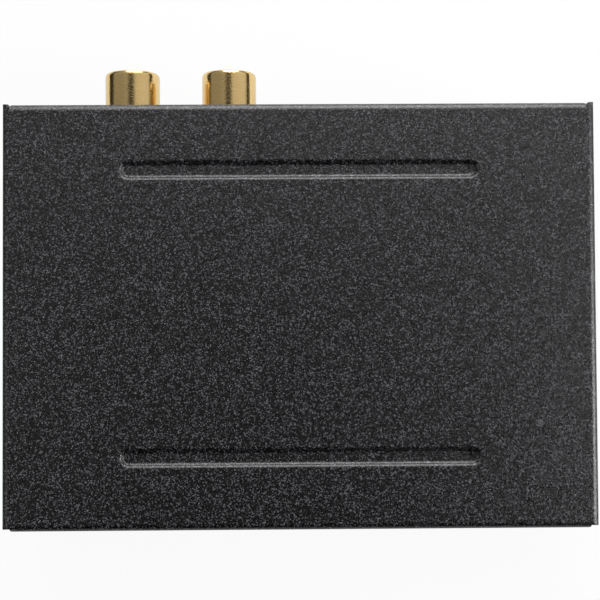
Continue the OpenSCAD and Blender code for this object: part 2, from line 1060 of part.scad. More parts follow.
module at_audio_axes() {
  for (side = [-1, 1])
    at_audio_axis(side)
      children();
}

module at_audio_axis(side) {
  translate([side * audio_pitch / 2, 0, audio_axis_h])
    children();
}

// The pegs under the audio housing
module audio_pegs(gap, len) {
  for (side = [-1, 1])
    translate([side * audio_pitch / 2, audio_face - audio_housing_d / 2 - peg_r, 0])
      rod_z(peg_r + gap, [-len, overrun]);
}

// A strip that runs down from a jack's axis and out below the board
module audio_tail(y, top, gap) {
  block(
    both(audio_tail_w / 2 + gap),
    [y - gap, y + audio_tail_t + gap],
    [-audio_axis_h - board_t - lead_out - gap, top]
  );
}

// Both solder tails of a jack: the barrel's in front, the centre contact's behind
module audio_tails(gap) {
  audio_tail(audio_face - barrel_tail, -barrel_bore_r - seat_gap, gap);
  audio_tail(insulator_back - audio_tail_t, -contact_bore_r - seat_gap, gap);
}

module audio_jack_housing() {
  top = audio_axis_h + barrel_r + barrel_flange_over + audio_roof;
  cell = rectangle(both(audio_cell_w / 2), [0, top]);
  color(BLACK)
    at_rear(audio_x)
      difference() {
        union() {
          for (side = [-1, 1])
            translate([side * audio_pitch / 2, 0, 0])
              along_y([audio_back, audio_face])
                polygon(rounded(cell, [0, 0, audio_bevel, audio_bevel]));
          block(both(audio_pitch / 2), [audio_back, audio_face], [0, top * audio_web_share]);
          audio_pegs(0, peg_len);
        }
        at_audio_axes() {
          rod_y(barrel_r + seat_gap, [audio_face - barrel_tail, audio_face + overrun]);
          rod_y(barrel_bore_r + seat_gap, [insulator_back - audio_tail_t - seat_gap, audio_face]);
          audio_tail(audio_face - barrel_tail, 0, seat_gap);
          audio_tail(insulator_back - audio_tail_t, 0, seat_gap);
        }
      }
}

// The rounding at a barrel's mouth, from its outer face to its end
function barrel_mouth() =
  [for (k = [0:corner_steps])
    let (a = 90 * k / corner_steps)
    [barrel_r - barrel_round * (1 - cos(a)), barrel_tip - barrel_round_len * (1 - sin(a))]];

module audio_barrel(side) {
  tail_r = barrel_r - barrel_round / 2;
  color(GOLD)
    at_rear(audio_x)
      at_audio_axis(side) {
        turned_y(concat(
          [
            [barrel_bore_r, audio_face - barrel_tail],
            [tail_r, audio_face - barrel_tail],
            [tail_r, audio_face],
            [barrel_r + barrel_flange_over, audio_face],
            [barrel_r + barrel_flange_over, -sheet_t],
            [barrel_r + barrel_shoulder_over, -sheet_t],
            [barrel_r + barrel_shoulder_over, barrel_shoulder_out],
            [barrel_r, barrel_shoulder_out]
          ],
          barrel_mouth(),
          [[barrel_bore_r, barrel_tip]]
        ));
        audio_tail(audio_face - barrel_tail, -(barrel_bore_r + tail_r) / 2, 0);
      }
}

module audio_insulator(side, tint) {
  face = barrel_tip - insulator_recess;
  inner = contact_r + seat_gap;
  color(tint)
    at_rear(audio_x)
      at_audio_axis(side)
        turned_y([
          [inner, insulator_back],
          [barrel_bore_r - seat_gap, insulator_back],
          [barrel_bore_r - seat_gap, face],
          [inner + funnel_over, face],
          [inner, face - funnel_over]
        ]);
}

module audio_contact(side) {
  mouth = barrel_tip - insulator_recess - funnel_over;
  color(GOLD)
    at_rear(audio_x)
      at_audio_axis(side) {
        difference() {
          rod_y(contact_r, [insulator_back - audio_tail_t, mouth]);
          rod_y(contact_bore_r, [insulator_back, mouth + overrun]);
          block(
            both(contact_slit_w / 2),
            [mouth - contact_slit_len, mouth + overrun],
            both(contact_r + overrun)
          );
        }
        audio_tail(insulator_back - audio_tail_t, -contact_bore_r - seat_gap, 0);
      }
}

// A video shell's outline at a distance from its inner face
function video_shape(by) =
  let (r = video_corner_r + max(by, -video_corner_r / 2))
  rounded(grown(video_outline, by), [for (p = video_outline) r]);

module video_prism(by, y) {
  translate([0, 0, video_axis_h])
    along_y(y)
      polygon(video_shape(by));
}

// The hole that a panel has for a video socket
module video_window() {
  video_prism(video_wall + video_rim_over + panel_gap, [-sheet_t - overrun, overrun]);
}

module video_legs(gap) {
  for (side = [-1, 1], y = [video_leg_front, video_leg_rear])
    on_side(side)
      block(
        [video_w / 2 - gap, video_w / 2 + video_wall + gap],
        [-y - video_leg_w / 2 - gap, -y + video_leg_w / 2 + gap],
        [-board_t - lead_out - gap, video_axis_h]
      );
}

// The cuts that free a spring tongue, in the shell's roof and floor
module video_spring_cuts() {
  front = -sheet_t - video_spring_cut;
  for (x = both(video_spring_x))
    translate([x, 0, 0])
      difference() {
        block(
          both(video_spring_w / 2 + video_spring_cut),
          [front - video_spring_len, front],
          [-overrun, 2 * video_axis_h + overrun]
        );
        block(
          both(video_spring_w / 2),
          [front - video_spring_len - overrun, front - video_spring_cut],
          [-2 * overrun, 2 * video_axis_h + 2 * overrun]
        );
      }
}

module video_shell() {
  color(TIN) {
    difference() {
      union() {
        video_prism(video_wall, [-video_d, video_nose]);
        video_prism(video_wall + video_rim_over, [video_nose - video_rim_t, video_nose]);
      }
      video_prism(0, [-video_d - overrun, video_nose + overrun]);
      video_spring_cuts();
    }
    video_legs(0);
  }
}

module video_insert() {
  row = video_row * video_pitch / 2;
  slot = video_contact_t + seat_gap;
  foot_top = tongue_z + video_tongue_t / 2 + slot + video_wall;
  color(BLACK)
    difference() {
      union() {
        video_prism(-seat_gap, [-video_d, -video_d + video_block_d]);
        block(both(video_tongue_w / 2), [-video_d, -video_tongue_in], span(tongue_z, video_tongue_t / 2));
        block(both(video_tongue_w / 2), [video_back, -video_d], [0, foot_top]);
      }
      for (side = [-1, 1])
        translate([0, 0, tongue_z + side * (video_tongue_t + slot) / 2])
          block(
            both(row),
            [video_back - overrun, -video_d + video_block_d + overrun],
            both(slot / 2)
          );
    }
}

// One contact: along the tongue, back through the insert, down to the board and out as a solder foot
module video_contact(x, side) {
  face = tongue_z + side * video_tongue_t / 2;
  levels = side > 0 ? [face, face + video_contact_t] : [face - video_contact_t, face];
  front = -video_tongue_in - video_tongue_t / 2;
  turn = video_back - seat_gap;
  along_x(span(x, video_contact_w / 2))
    polygon([
      [front, levels[0]],
      [front, levels[1]],
      [turn - video_contact_t, levels[1]],
      [turn - video_contact_t, video_contact_t],
      [turn - video_solder, video_contact_t],
      [turn - video_solder, 0],
      [turn, 0],
      [turn, levels[0]]
    ]);
}

module video_contacts() {
  color(GOLD) {
    for (k = [0:video_row - 1])
      video_contact((k - (video_row - 1) / 2) * video_pitch, 1);
    for (k = [0:video_lower_row - 1])
      video_contact((k - (video_lower_row - 1) / 2) * video_pitch, -1);
  }
}

module optical_pegs(gap, len) {
  for (side = [-1, 1])
    translate([side * (optical_w / 2 - 2 * peg_r), -optical_hollow_d / 2, 0])
      rod_z(peg_r + gap, [-len, optical_floor / 2]);
}

module emitter_leads(gap) {
  for (k = [-1, 0, 1])
    translate([k * emitter_pitch, -optical_d + emitter_size.y / 2, 0])
      square_lead(emitter_lift + lead_t, gap);
}

module optical_housing() {
  shell = rectangle(both(optical_w / 2), [0, optical_h]);
  pocket_front = -optical_hollow_d - light_wall;
  color(BLACK)
    at_rear(optical_x)
      difference() {
        union() {
          along_y([-optical_d, optical_nose])
            polygon(rounded(shell, [0, 0, optical_bevel, optical_bevel]));
          optical_pegs(0, peg_len);
        }
        block(
          both(optical_hollow_w / 2),
          [-optical_hollow_d, optical_plate_back],
          [optical_floor, optical_ceiling]
        );
        along_y([optical_plate_back - seat_gap, optical_nose + overrun])
          polygon(mouth_outline);
        translate([0, 0, (mouth_low + mouth_high) / 2]) {
          rod_y(light_bore_r, [pocket_front - overrun, -optical_hollow_d + overrun]);
          block(
            both(optical_hollow_w / 2 + latch_pocket_d),
            span(-optical_hollow_d / 2, latch_pocket / 2),
            both(latch_pocket / 2)
          );
        }
        translate([0, pivot_y, pivot_z])
          rod_x(pivot_r + seat_gap, both(optical_hollow_w / 2 + pivot_in + seat_gap));
        block(
          both(emitter_size.x / 2 + seat_gap),
          [-optical_d - overrun, pocket_front],
          [-overrun, emitter_lift + emitter_size.z + seat_gap]
        );
        spring_leaf(seat_gap);
      }
}

module optical_shutter() {
  half = optical_hollow_w / 2 - moving_gap;
  front = shutter_t / 2;
  color("#2a2b2e")
    at_rear(optical_x) {
      translate([0, pivot_y, 0]) {
        block(both(half), both(front), [mouth_low - moving_gap, pivot_z]);
        along_y([front - seat_gap, front + shutter_pad_t])
          polygon(grown(mouth_outline, -shutter_pad_gap));
      }
      translate([0, pivot_y, pivot_z]) {
        rod_x(pivot_hub_r, both(half));
        rod_x(pivot_r, both(optical_hollow_w / 2 + pivot_in));
      }
    }
}

// The leaf lies in the ceiling, and its end is bent down behind the shutter
module spring_leaf(gap) {
  back = pivot_y - pivot_hub_r - seat_gap;
  low = optical_ceiling - leaf_bend;
  top = optical_ceiling + leaf_t;
  along_x(both(leaf_w / 2 + gap))
    polygon([
      [back + gap, top + gap],
      [back - leaf_len - gap, top + gap],
      [back - leaf_len - gap, optical_ceiling - gap],
      [back - leaf_t - gap, optical_ceiling - gap],
      [back - leaf_t - gap, low],
      [back + gap, low]
    ]);
}

module shutter_spring() {
  color(TIN)
    at_rear(optical_x)
      spring_leaf(0);
}

module optical_emitter() {
  pocket_front = -optical_hollow_d - light_wall;
  front = pocket_front - seat_gap;
  color("#33363a")
    at_rear(optical_x) {
      block(
        both(emitter_size.x / 2),
        [front - emitter_size.y, front],
        [emitter_lift, emitter_lift + emitter_size.z]
      );
      translate([0, 0, (mouth_low + mouth_high) / 2])
        rod_y(lens_r, [front, pocket_front + light_wall / 2]);
      emitter_leads(0);
    }
}

// The jack's solder tabs: the centre pin's at the back, the leaf's in the middle
module power_tabs(gap) {
  power_tab(-power_d, power_axis_h, gap);
  power_tab(-power_bore_d - power_tab_t, power_tab_t, gap);
}

module power_tab(y, top, gap) {
  block(
    both(power_tab_w / 2 + gap),
    [y - gap, y + power_tab_t + gap],
    [-board_t - lead_out - gap, top]
  );
}

module power_jack_housing() {
  front_face = rectangle(both(power_w / 2), [0, power_h]);
  split = -sheet_t - power_front_d;
  color(BLACK)
    at_front(power_x)
      difference() {
        union() {
          along_y([split, -sheet_t])
            polygon(rounded(front_face, [0, 0, power_corner_r, power_corner_r]));
          block(both(power_w / 2), [-power_d, split], [0, power_base_h]);
          block(both(power_back_r), [-power_d, split], [0, power_axis_h]);
          translate([0, 0, power_axis_h]) {
            rod_y(power_back_r, [-power_d, split]);
            rod_y(power_nose_r, [-sheet_t, power_nose]);
          }
        }
        translate([0, 0, power_axis_h]) {
          rod_y(power_bore_r, [-power_bore_d, power_nose + overrun]);
          rod_y(power_root_r + seat_gap, [-power_d - overrun, -power_bore_d + overrun]);
        }
        block(
          both(power_tab_w / 2 + seat_gap),
          [-power_d - overrun, -power_d + power_tab_t + seat_gap],
          [-overrun, power_axis_h]
        );
        power_leaf_channel();
      }
}

// The channel in the bore's floor that holds the leaf and lets its tab through
module power_leaf_channel() {
  floor_z = power_axis_h - power_bore_r - power_leaf_seat;
  block(
    both(power_leaf_w / 2 + seat_gap),
    [-power_bore_d - seat_gap, -sheet_t - power_front_d / 2],
    [floor_z, power_axis_h]
  );
  block(
    both(power_tab_w / 2 + seat_gap),
    [-power_bore_d - power_tab_t - seat_gap, -power_bore_d + seat_gap],
    [-overrun, floor_z + power_leaf_t + seat_gap]
  );
}

module power_jack_pin() {
  tip = -power_pin_in;
  color(TIN)
    at_front(power_x) {
      translate([0, 0, power_axis_h])
        turned_y([
          [0, -power_d],
          [power_root_r, -power_d],
          [power_root_r, -power_bore_d],
          [power_pin_r, -power_bore_d],
          [power_pin_r, tip - power_pin_bevel],
          [power_pin_r - power_pin_bevel, tip],
          [0, tip]
        ]);
      power_tab(-power_d, power_axis_h, 0);
    }
}

module power_jack_leaf() {
  floor_z = power_axis_h - power_bore_r - power_leaf_seat;
  bow_z = power_axis_h - power_bore_r + power_leaf_bow;
  front = -sheet_t - power_front_d / 2 - seat_gap;
  middle = (front - power_bore_d) / 2;
  color(TIN)
    at_front(power_x) {
      along_x(both(power_leaf_w / 2))
        polygon([
          [-power_bore_d, floor_z],
          [-power_bore_d + power_tab_t, floor_z],
          [middle, bow_z - power_leaf_t],
          [front, floor_z],
          [front, floor_z + power_leaf_t],
          [middle, bow_z],
          [-power_bore_d + power_tab_t, floor_z + power_leaf_t],
          [-power_bore_d, floor_z + power_leaf_t]
        ]);
      power_tab(-power_bore_d - power_tab_t, floor_z + power_leaf_t, 0);
    }
}

// The frame's legs and the base's leads, as they pass through the board
module switch_legs(gap) {
  switch_frame_legs(gap);
  switch_base_leads(gap);
}

module switch_frame_legs(gap) {
  middle = (switch_front + switch_back) / 2;
  on_both_sides()
    block(
      [switch_size.x / 2 - switch_wall - gap, switch_size.x / 2 + gap],
      span(middle, video_leg_w / 2 + gap),
      [-board_t - lead_out - gap, switch_axis_h]
    );
}

module switch_base_leads(gap) {
  for (k = [0:switch_leads - 1])
    translate([(k - (switch_leads - 1) / 2) * switch_pitch, switch_back + switch_base_d / 2, 0])
      square_lead(switch_wall + lead_t, gap);
}

module switch_frame() {
  inner = switch_size.x / 2 - switch_wall;
  color(TIN)
    at_front(switch_x) {
      difference() {
        block(both(switch_size.x / 2), [switch_back, switch_front], [0, switch_size.z]);
        block(
          both(inner),
          [switch_back - overrun, switch_front - switch_wall],
          [-overrun, switch_size.z - switch_wall]
        );
        translate([0, 0, switch_axis_h])
          block(
            both(window_half),
            [switch_front - switch_wall - overrun, switch_front + overrun],
            both(window_h / 2)
          );
      }
      switch_frame_legs(0);
    }
}

module switch_base() {
  inner = switch_size.x / 2 - switch_wall - seat_gap;
  color("#8a5a2b")
    at_front(switch_x) {
      block(
        both(inner),
        [switch_back, switch_back + switch_base_d],
        [0, switch_size.z - switch_wall - seat_gap]
      );
      block(
        both(inner),
        [switch_back, switch_front - switch_wall - seat_gap],
        [0, switch_axis_h - slider_size.y / 2 - moving_gap]
      );
      switch_base_leads(0);
    }
}

module switch_slider() {
  color(BLACK)
    at_front(switch_x)
      translate([0, 0, switch_axis_h]) {
        block(both(slider_size.x / 2), [slider_back, slider_front], both(slider_size.y / 2));
        difference() {
          block(both(lever_size.x / 2), [slider_front - moving_gap, lever_tip], both(lever_size.y / 2));
          for (k = [0:lever_grooves - 1])
            translate([(2 * k - lever_grooves + 1) * lever_groove, lever_tip, 0])
              block(both(lever_groove / 2), [-lever_groove, overrun], both(lever_size.y));
        }
      }
}

module power_lamp() {
  color("#b3202a")
    at_front(lamp_x)
      translate([0, 0, lamp_axis_h]) {
        rod_y(lamp_r, [-lamp_d, lamp_nose - lamp_r]);
        rod_y(lamp_flange_r, [-lamp_d, -lamp_d + lamp_flange_t]);
        translate([0, lamp_nose - lamp_r, 0])
          sphere(lamp_r);
      }
}

module lamp_legs(gap) {
  on_both_sides()
    translate([lamp_lead_x, -lamp_d - lamp_lead_run, 0])
      square_lead(lamp_axis_h, gap);
}

module lamp_leads() {
  color(TIN)
    at_front(lamp_x) {
      lamp_legs(0);
      on_both_sides()
        translate([lamp_lead_x, 0, lamp_axis_h])
          block(both(lead_t / 2), [-lamp_d - lamp_lead_run - lead_t / 2, -lamp_d], both(lead_t / 2));
    }
}

// A row of bent leads along one side of a chip: out of the body, down, and flat on the board
module chip_row(side_len, reach_from, count, height) {
  pitch = side_len * chip_row_share / count;
  width = pitch * chip_lead_share;
  middle = height / 2;
  knee = reach_from + chip_lead_reach / 2;
  for (k = [0:count - 1])
    along_x(span((k - (count - 1) / 2) * pitch, width / 2))
      polygon([
        [reach_from - chip_lead_t, middle],
        [reach_from - chip_lead_t, middle + chip_lead_t],
        [knee + chip_lead_t, middle + chip_lead_t],
        [knee + chip_lead_t, chip_lead_t],
        [reach_from + chip_lead_reach, chip_lead_t],
        [reach_from + chip_lead_reach, 0],
        [knee, 0],
        [knee, middle]
      ]);
}

// A moulded chip with leads on the given sides and a round mark in one corner
module chip(size, count, turns) {
  difference() {
    block(both(size.x / 2), both(size.y / 2), [chip_lift, chip_lift + size.z]);
    translate([chip_mark_in - size.x / 2, chip_mark_in - size.y / 2, 0])
      rod_z(chip_mark_r, [size.z, size.z + overrun]);
  }
  for (turn = turns)
    rotate([0, 0, turn])
      chip_row(size.x, size.y / 2, count, size.z);
}

module processor_chip() {
  color(BLACK)
    on_board(processor_place_share)
      chip(processor_size, processor_leads, [0, 90, 180, 270]);
}

module audio_chip() {
  color(BLACK)
    on_board(audio_chip_place_share)
      chip(audio_chip_size, audio_chip_leads, [0, 180]);
}

module memory_chip() {
  color(BLACK)
    on_board(memory_place_share)
      chip(memory_size, memory_leads, [0, 180]);
}

module voltage_regulator() {
  color(BLACK)
    on_board(regulator_place_share) {
      block(both(regulator_size.x / 2), both(regulator_size.y / 2), [0, regulator_size.z]);
      block(both(regulator_tab.x / 2), [0, regulator_size.y / 2 + regulator_tab.y], [0, chip_lead_t]);
      rotate([0, 0, 180])
        chip_row(regulator_size.x, regulator_size.y / 2, regulator_leads, regulator_size.z);
    }
}

// An outline with half-round ends, for the crystal's can
module stadium(len, width) {
  square([len - width, width], center = true);
  for (side = [-1, 1])
    translate([side * (len - width) / 2, 0])
      circle(d = width);
}

module clock_crystal() {
  color(TIN)
    on_board(crystal_place_share) {
      linear_extrude(crystal_rim_h)
        stadium(crystal_size.x + 2 * crystal_rim_over, crystal_size.y + 2 * crystal_rim_over);
      linear_extrude(crystal_size.z)
        stadium(crystal_size.x, crystal_size.y);
    }
}

module power_inductor() {
  w = inductor_size.x / 2;
  corners = rectangle(both(w), both(w));
  ring_r = inductor_core_r + inductor_ring_w;
  color("#3b3c3f")
    on_board(inductor_place_share)
      difference() {
        linear_extrude(inductor_size.z)
          polygon(rounded(corners, [for (p = corners) inductor_bevel]));
        difference() {
          rod_z(ring_r, [inductor_size.z - inductor_ring_d, inductor_size.z + overrun]);
          rod_z(inductor_core_r, [0, inductor_size.z + 2 * overrun]);
        }
      }
}

// A can on a square base with two cut corners, with a bead rolled round it
module capacitor() {
  w = capacitor_r + capacitor_bead;
  b = capacitor_base_bevel;
  bead_z = capacitor_base_h + 2 * capacitor_bead;
  linear_extrude(capacitor_base_h)
    polygon([[-w, -w], [w - b, -w], [w, -w + b], [w, w - b], [w - b, w], [-w, w]]);
  rotate_extrude()
    polygon([
      [0, 0],
      [capacitor_r, 0],
      [capacitor_r, bead_z],
      [capacitor_r - capacitor_bead, bead_z + capacitor_bead],
      [capacitor_r, bead_z + 2 * capacitor_bead],
      [capacitor_r, capacitor_h - capacitor_bead],
      [capacitor_r - capacitor_bead, capacitor_h],
      [0, capacitor_h]
    ]);
}

module filter_capacitors() {
  color(TIN)
    for (share = capacitor_place_shares)
      on_board(share)
        capacitor();
}

module chip_resistors() {
  color(BLACK)
    on_board(resistor_place_share)
      for (i = [0:resistor_grid.x - 1], j = [0:resistor_grid.y - 1])
        translate([
          (i - (resistor_grid.x - 1) / 2) * resistor_pitch.x,
          (j - (resistor_grid.y - 1) / 2) * resistor_pitch.y,
          0
        ])
          block(both(resistor_size.x / 2), both(resistor_size.y / 2), [0, resistor_size.z]);
}

top_cover();
base_tray();
cover_screws();
foot(-1, -1);  // front_left_foot
foot(1, -1);  // front_right_foot
foot(-1, 1);  // rear_left_foot
foot(1, 1);  // rear_right_foot
board_standoffs();
board_screws();
circuit_board();
audio_jack_housing();
audio_barrel(-1);  // left_audio_barrel
audio_barrel(1);  // right_audio_barrel
audio_insulator(-1, "#ececea");  // left_audio_insulator
audio_insulator(1, "#b3202a");  // right_audio_insulator
audio_contact(-1);  // left_audio_contact
audio_contact(1);  // right_audio_contact
at_rear(video_out_x) video_shell();  // video_out_shell
at_rear(video_out_x) video_insert();  // video_out_insert
at_rear(video_out_x) video_contacts();  // video_out_contacts
at_front(video_in_x) video_shell();  // video_in_shell
at_front(video_in_x) video_insert();  // video_in_insert
at_front(video_in_x) video_contacts();  // video_in_contacts
optical_housing();
optical_shutter();
shutter_spring();
optical_emitter();
power_jack_housing();
power_jack_pin();
power_jack_leaf();
switch_frame();
switch_base();
switch_slider();
power_lamp();
lamp_leads();
processor_chip();
audio_chip();
memory_chip();
voltage_regulator();
clock_crystal();
power_inductor();
filter_capacitors();
chip_resistors();
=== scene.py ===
"""Finishes for a small sheet steel audio extractor box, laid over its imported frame.

Every length is in metres, in the frame's own axes: X to the right, Y to the rear, Z up.
"""

import bpy
from mathutils import Matrix, Vector


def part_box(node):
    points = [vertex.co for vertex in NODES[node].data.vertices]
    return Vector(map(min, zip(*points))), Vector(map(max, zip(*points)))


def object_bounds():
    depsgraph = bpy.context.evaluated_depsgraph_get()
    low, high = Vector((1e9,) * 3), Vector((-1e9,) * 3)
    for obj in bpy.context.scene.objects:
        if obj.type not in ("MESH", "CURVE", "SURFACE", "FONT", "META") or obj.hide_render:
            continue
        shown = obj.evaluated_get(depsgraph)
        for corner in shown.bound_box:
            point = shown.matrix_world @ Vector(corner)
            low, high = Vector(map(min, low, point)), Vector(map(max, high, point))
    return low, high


bl_info = {
    "name": "Audio Extractor Box",
    "version": (1, 0, 0),
    "blender": (4, 5, 0),
    "location": "3D View > Sidebar > Box",
    "description": "Dresses a sheet steel audio extractor box in its coat, plating and mouldings",
    "category": "Object",
}

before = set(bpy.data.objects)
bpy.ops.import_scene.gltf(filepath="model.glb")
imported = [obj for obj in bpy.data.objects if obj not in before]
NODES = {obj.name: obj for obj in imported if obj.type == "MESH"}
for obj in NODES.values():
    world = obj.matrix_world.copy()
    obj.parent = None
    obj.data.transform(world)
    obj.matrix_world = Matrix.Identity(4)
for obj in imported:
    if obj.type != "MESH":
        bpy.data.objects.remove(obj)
CAD_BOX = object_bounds()

COVER_LOW, COVER_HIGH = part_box("top_cover")
BOX_MIDDLE = (CAD_BOX[0] + CAD_BOX[1]) / 2
MM = 0.001
WHITE = (1, 1, 1)

# Places of the sockets that a Mix node uses for colours
MIX_SHARE, MIX_FIRST, MIX_SECOND, MIX_RESULT = 0, 6, 7, 2
# Samples that find how an edge is rounded
BEVEL_SAMPLES = 6
# Range in which most of a soft noise lies
NOISE_SPAN = (0.3, 0.7)

# Size of the coat's relief as a share of its grains, and how rough that relief is
RELIEF_SHARE = 0.8
RELIEF_ROUGH = 0.6
# Range of the grains' values over which they turn from dark to bright: the bright grains are painted glints,
# specks of light drawn into the coat's colour
GLINT_GRAINS = (0.7, 1.0)
# How far the roughness of the coat's brightest and darkest grains lies from the mean
GRAIN_SWING = 0.1
# How steeply the coat dulls towards a view along it
DULLING_POWER = 2.0
# How strongly an edge of the coat is lightened, partly by rubbed wear and partly as a painted highlight, and
# where in its relief the lightening shows
WEAR_HIGHLIGHT_GAIN = 2.5
WEAR_HIGHLIGHT_SPAN = (0.4, 0.6)

# Looks that a soft noise brings in: where in its range it starts and ends, and its largest share
GOLD_FILM = (0.4, 0.7, 0.25)
METAL_PATCHES = (0.4, 0.75, 0.5)
MOULD_FLOW = (0.35, 0.7, 0.3)
RUBBER_BLOOM = (0.5, 0.8, 0.5)
LENS_HAZE = (0.4, 0.7, 0.4)

# How far the roughness of each finish falls and rises about its usual value
GOLD_SWING = (0.03, 0.05)
METAL_SWING = (0.06, 0.08)
MOULD_SWING = (0.05, 0.07)
RUBBER_SWING = (0.08, 0.10)
LENS_SWING = (0.03, 0.06)
MASK_SWING = (0.04, 0.06)

# Stretch of the marks of turning, which run round the barrels
TURNED = (0.02, 1.0, 0.02)
TURNING_DEPTH = 0.0006 * MM
GOLD_EDGE_R = 0.06 * MM

# Stretch of the scratches in plated metal
SCRATCHED = (1.0, 0.12, 1.0)
SCRATCH_DEPTH = 0.001 * MM
METAL_EDGE_R = 0.05 * MM
# Size of the duller patches, in distances between scratches, and their share of the metal's brightness
PATCH_SCRATCHES = 25
PATCH_SHARE = 0.72
# Roughness of each plated or bare metal, and the distance between its scratches
METAL_FINISHES = {
    "black_screw": (0.42, 0.08 * MM),
    "nickel_shell": (0.26, 0.07 * MM),
    "spring_metal": (0.3, 0.05 * MM),
    "tinned_lead": (0.35, 0.06 * MM),
    "yellow_brass": (0.24, 0.06 * MM),
    "zinc_screw": (0.3, 0.06 * MM),
    "bare_can": (0.28, 0.08 * MM),
}

# Size of the streaks that the plastic's flow leaves, in grains, and a grain's depth as a share of its size
FLOW_GRAINS = 30
GRAIN_DEPTH_SHARE = 0.06
# How the paler colour of a moulding's edges and streaks comes from its own colour
PALE_GAIN = 1.6
PALE_LIFT = 0.01
PALE_EDGE_GAIN = 0.8
CLEAR_ROUGHNESS = 0.12
# Roughness of each moulding, and the weight of the clear gloss over it
MOULDING_FINISHES = {
    "white_moulding": (0.32, 0.3),
    "red_moulding": (0.32, 0.3),
    "black_moulding": (0.45, 0.0),
    "shutter_moulding": (0.4, 0.0),
    "emitter_moulding": (0.2, 0.6),
    "brown_moulding": (0.5, 0.0),
    "chip_moulding": (0.55, 0.0),
    "ferrite": (0.7, 0.0),
}

RUBBER_ROUGHNESS = 0.78
RUBBER_SHINE = 0.3
RUBBER_RELIEF = 0.02 * MM
BLOOM_ROUGH = 0.65

LENS_ROUGHNESS = 0.08
LENS_CLEARNESS = 0.6
LENS_IOR = 1.5
# Weight and roughness of the gloss over the lamp's lens and over the solder mask
LENS_GLOSS = (0.5, 0.05)
MASK_GLOSS = (0.4, 0.15)

MASK_ROUGHNESS = 0.3
MASK_STEP = 0.02 * MM
# Tracks, in their own pitch: their width, the length of a lane, and the shift of each next lane
TRACK_SHARE = 0.16
LANE_TRACKS = 7
LANE_SHIFT_SHARE = 0.4
TRACK_BLUR = 0.1
TRACK_STRENGTH = 0.8
# Pads: their distance in tracks, and where a pad ends, as shares of that distance from its middle
PAD_TRACKS = 3.1
PAD_SPAN = (0.1, 0.13)
# How upright a face's direction is where the cut edge ends and the mask starts
CUT_EDGE_SPAN = (0.4, 0.6)
# Fibres of the laminate: their stretch, their contrast, and the brightness of the darker ones
FIBRE_STRETCH = (1.0, 1.0, 0.2)
FIBRE_SPAN = (0.35, 0.65)
FIBRE_SHARE = 0.7

# Width and depth of a dark card, and its height over the floor
CARD_SIZE = (1.5, 1.0)
CARD_LIFT = 0.5 * MM
PAPER_ROUGHNESS = 0.9
PAPER_SHINE = 0.1
# Each light: its name, the setting that holds its power, its place, and its width and height
LIGHTS = [
    ("rear_light", "rear_power", (0.06, 0.66, 0.39), (0.6, 0.7)),
    ("right_light", "right_power", (0.53, -0.1, 0.32), (0.16, 0.42)),
    ("left_light", "left_power", (-0.45, -0.1, 0.42), (0.2, 0.3)),
]
# How the sky changes along each axis of a direction: from, to, strength at each end
SKY_SLOPES = [
    ("Z", 0.06, 0.22, 0.02, 1.0),
    ("Z", 0.93, 0.985, 1.0, 0.06),
    ("Y", -0.3, 0.35, 0.0, 1.6),
    ("X", -0.7, 0.7, 0.6, 1.3),
]
# Width of the camera's sensor, in millimetres
SENSOR_W = 36
# Nearest and farthest distance that the camera sees
CLIP_NEAR = 0.005
CLIP_FAR = 50


def colour_property(name, description, default):
    """A colour that the sidebar shows as a swatch."""
    return bpy.props.FloatVectorProperty(
        name=name, description=description, default=default, size=3, subtype="COLOR", min=0, max=1)


def length_property(name, description, default):
    """A length in metres."""
    return bpy.props.FloatProperty(
        name=name, description=description, default=default, min=0, precision=5, unit="LENGTH")


def shift_property(name, description, default):
    """A length in metres that may be negative."""
    return bpy.props.FloatProperty(
        name=name, description=description, default=default, precision=5, unit="LENGTH")


def share_property(name, description, default):
    """A share from 0 to 1."""
    return bpy.props.FloatProperty(
        name=name, description=description, default=default, min=0, max=1, subtype="FACTOR")


def angle_property(name, description, default):
    """An angle in radians, shown in degrees."""
    return bpy.props.FloatProperty(name=name, description=description, default=default, unit="ROTATION")


def plain_property(name, description, default):
    """A number without a unit."""
    return bpy.props.FloatProperty(name=name, description=description, default=default, min=0)


class CoatSettings(bpy.types.PropertyGroup):
    """The powder coat of the folded sheet."""

    colour: colour_property("Coat", "Colour of the powder coat", (0.0015, 0.0015, 0.0017))
    # The bright grains are painted glints: specks of light on the coat's grains, drawn into its colour
    bright: colour_property("Bright grains", "Colour of the coat's brightest grains", (0.124, 0.124, 0.137))
    grain: length_property("Grain", "Distance between the grains of the coat", 0.165 * MM)
    relief: length_property("Relief", "Height of the coat's relief", 0.045 * MM)
    roughness: share_property("Roughness", "Mean roughness of the coat, seen square on", 0.24)
    shine: share_property("Shine", "Strength of the coat's gloss", 0.72)
    dulling: share_property("Dulling", "Roughness added where the view runs along the coat", 0.6)
    edge_r: length_property("Edge", "Rounding that the coat gives to the sheet's cut edges", 0.12 * MM)
    # Lighter coat at the edges: partly rubbed wear, partly a painted highlight along the edges
    worn_and_highlit_edge: colour_property("Worn edge", "Colour of the coat where an edge is rubbed", (0.11, 0.11, 0.115))


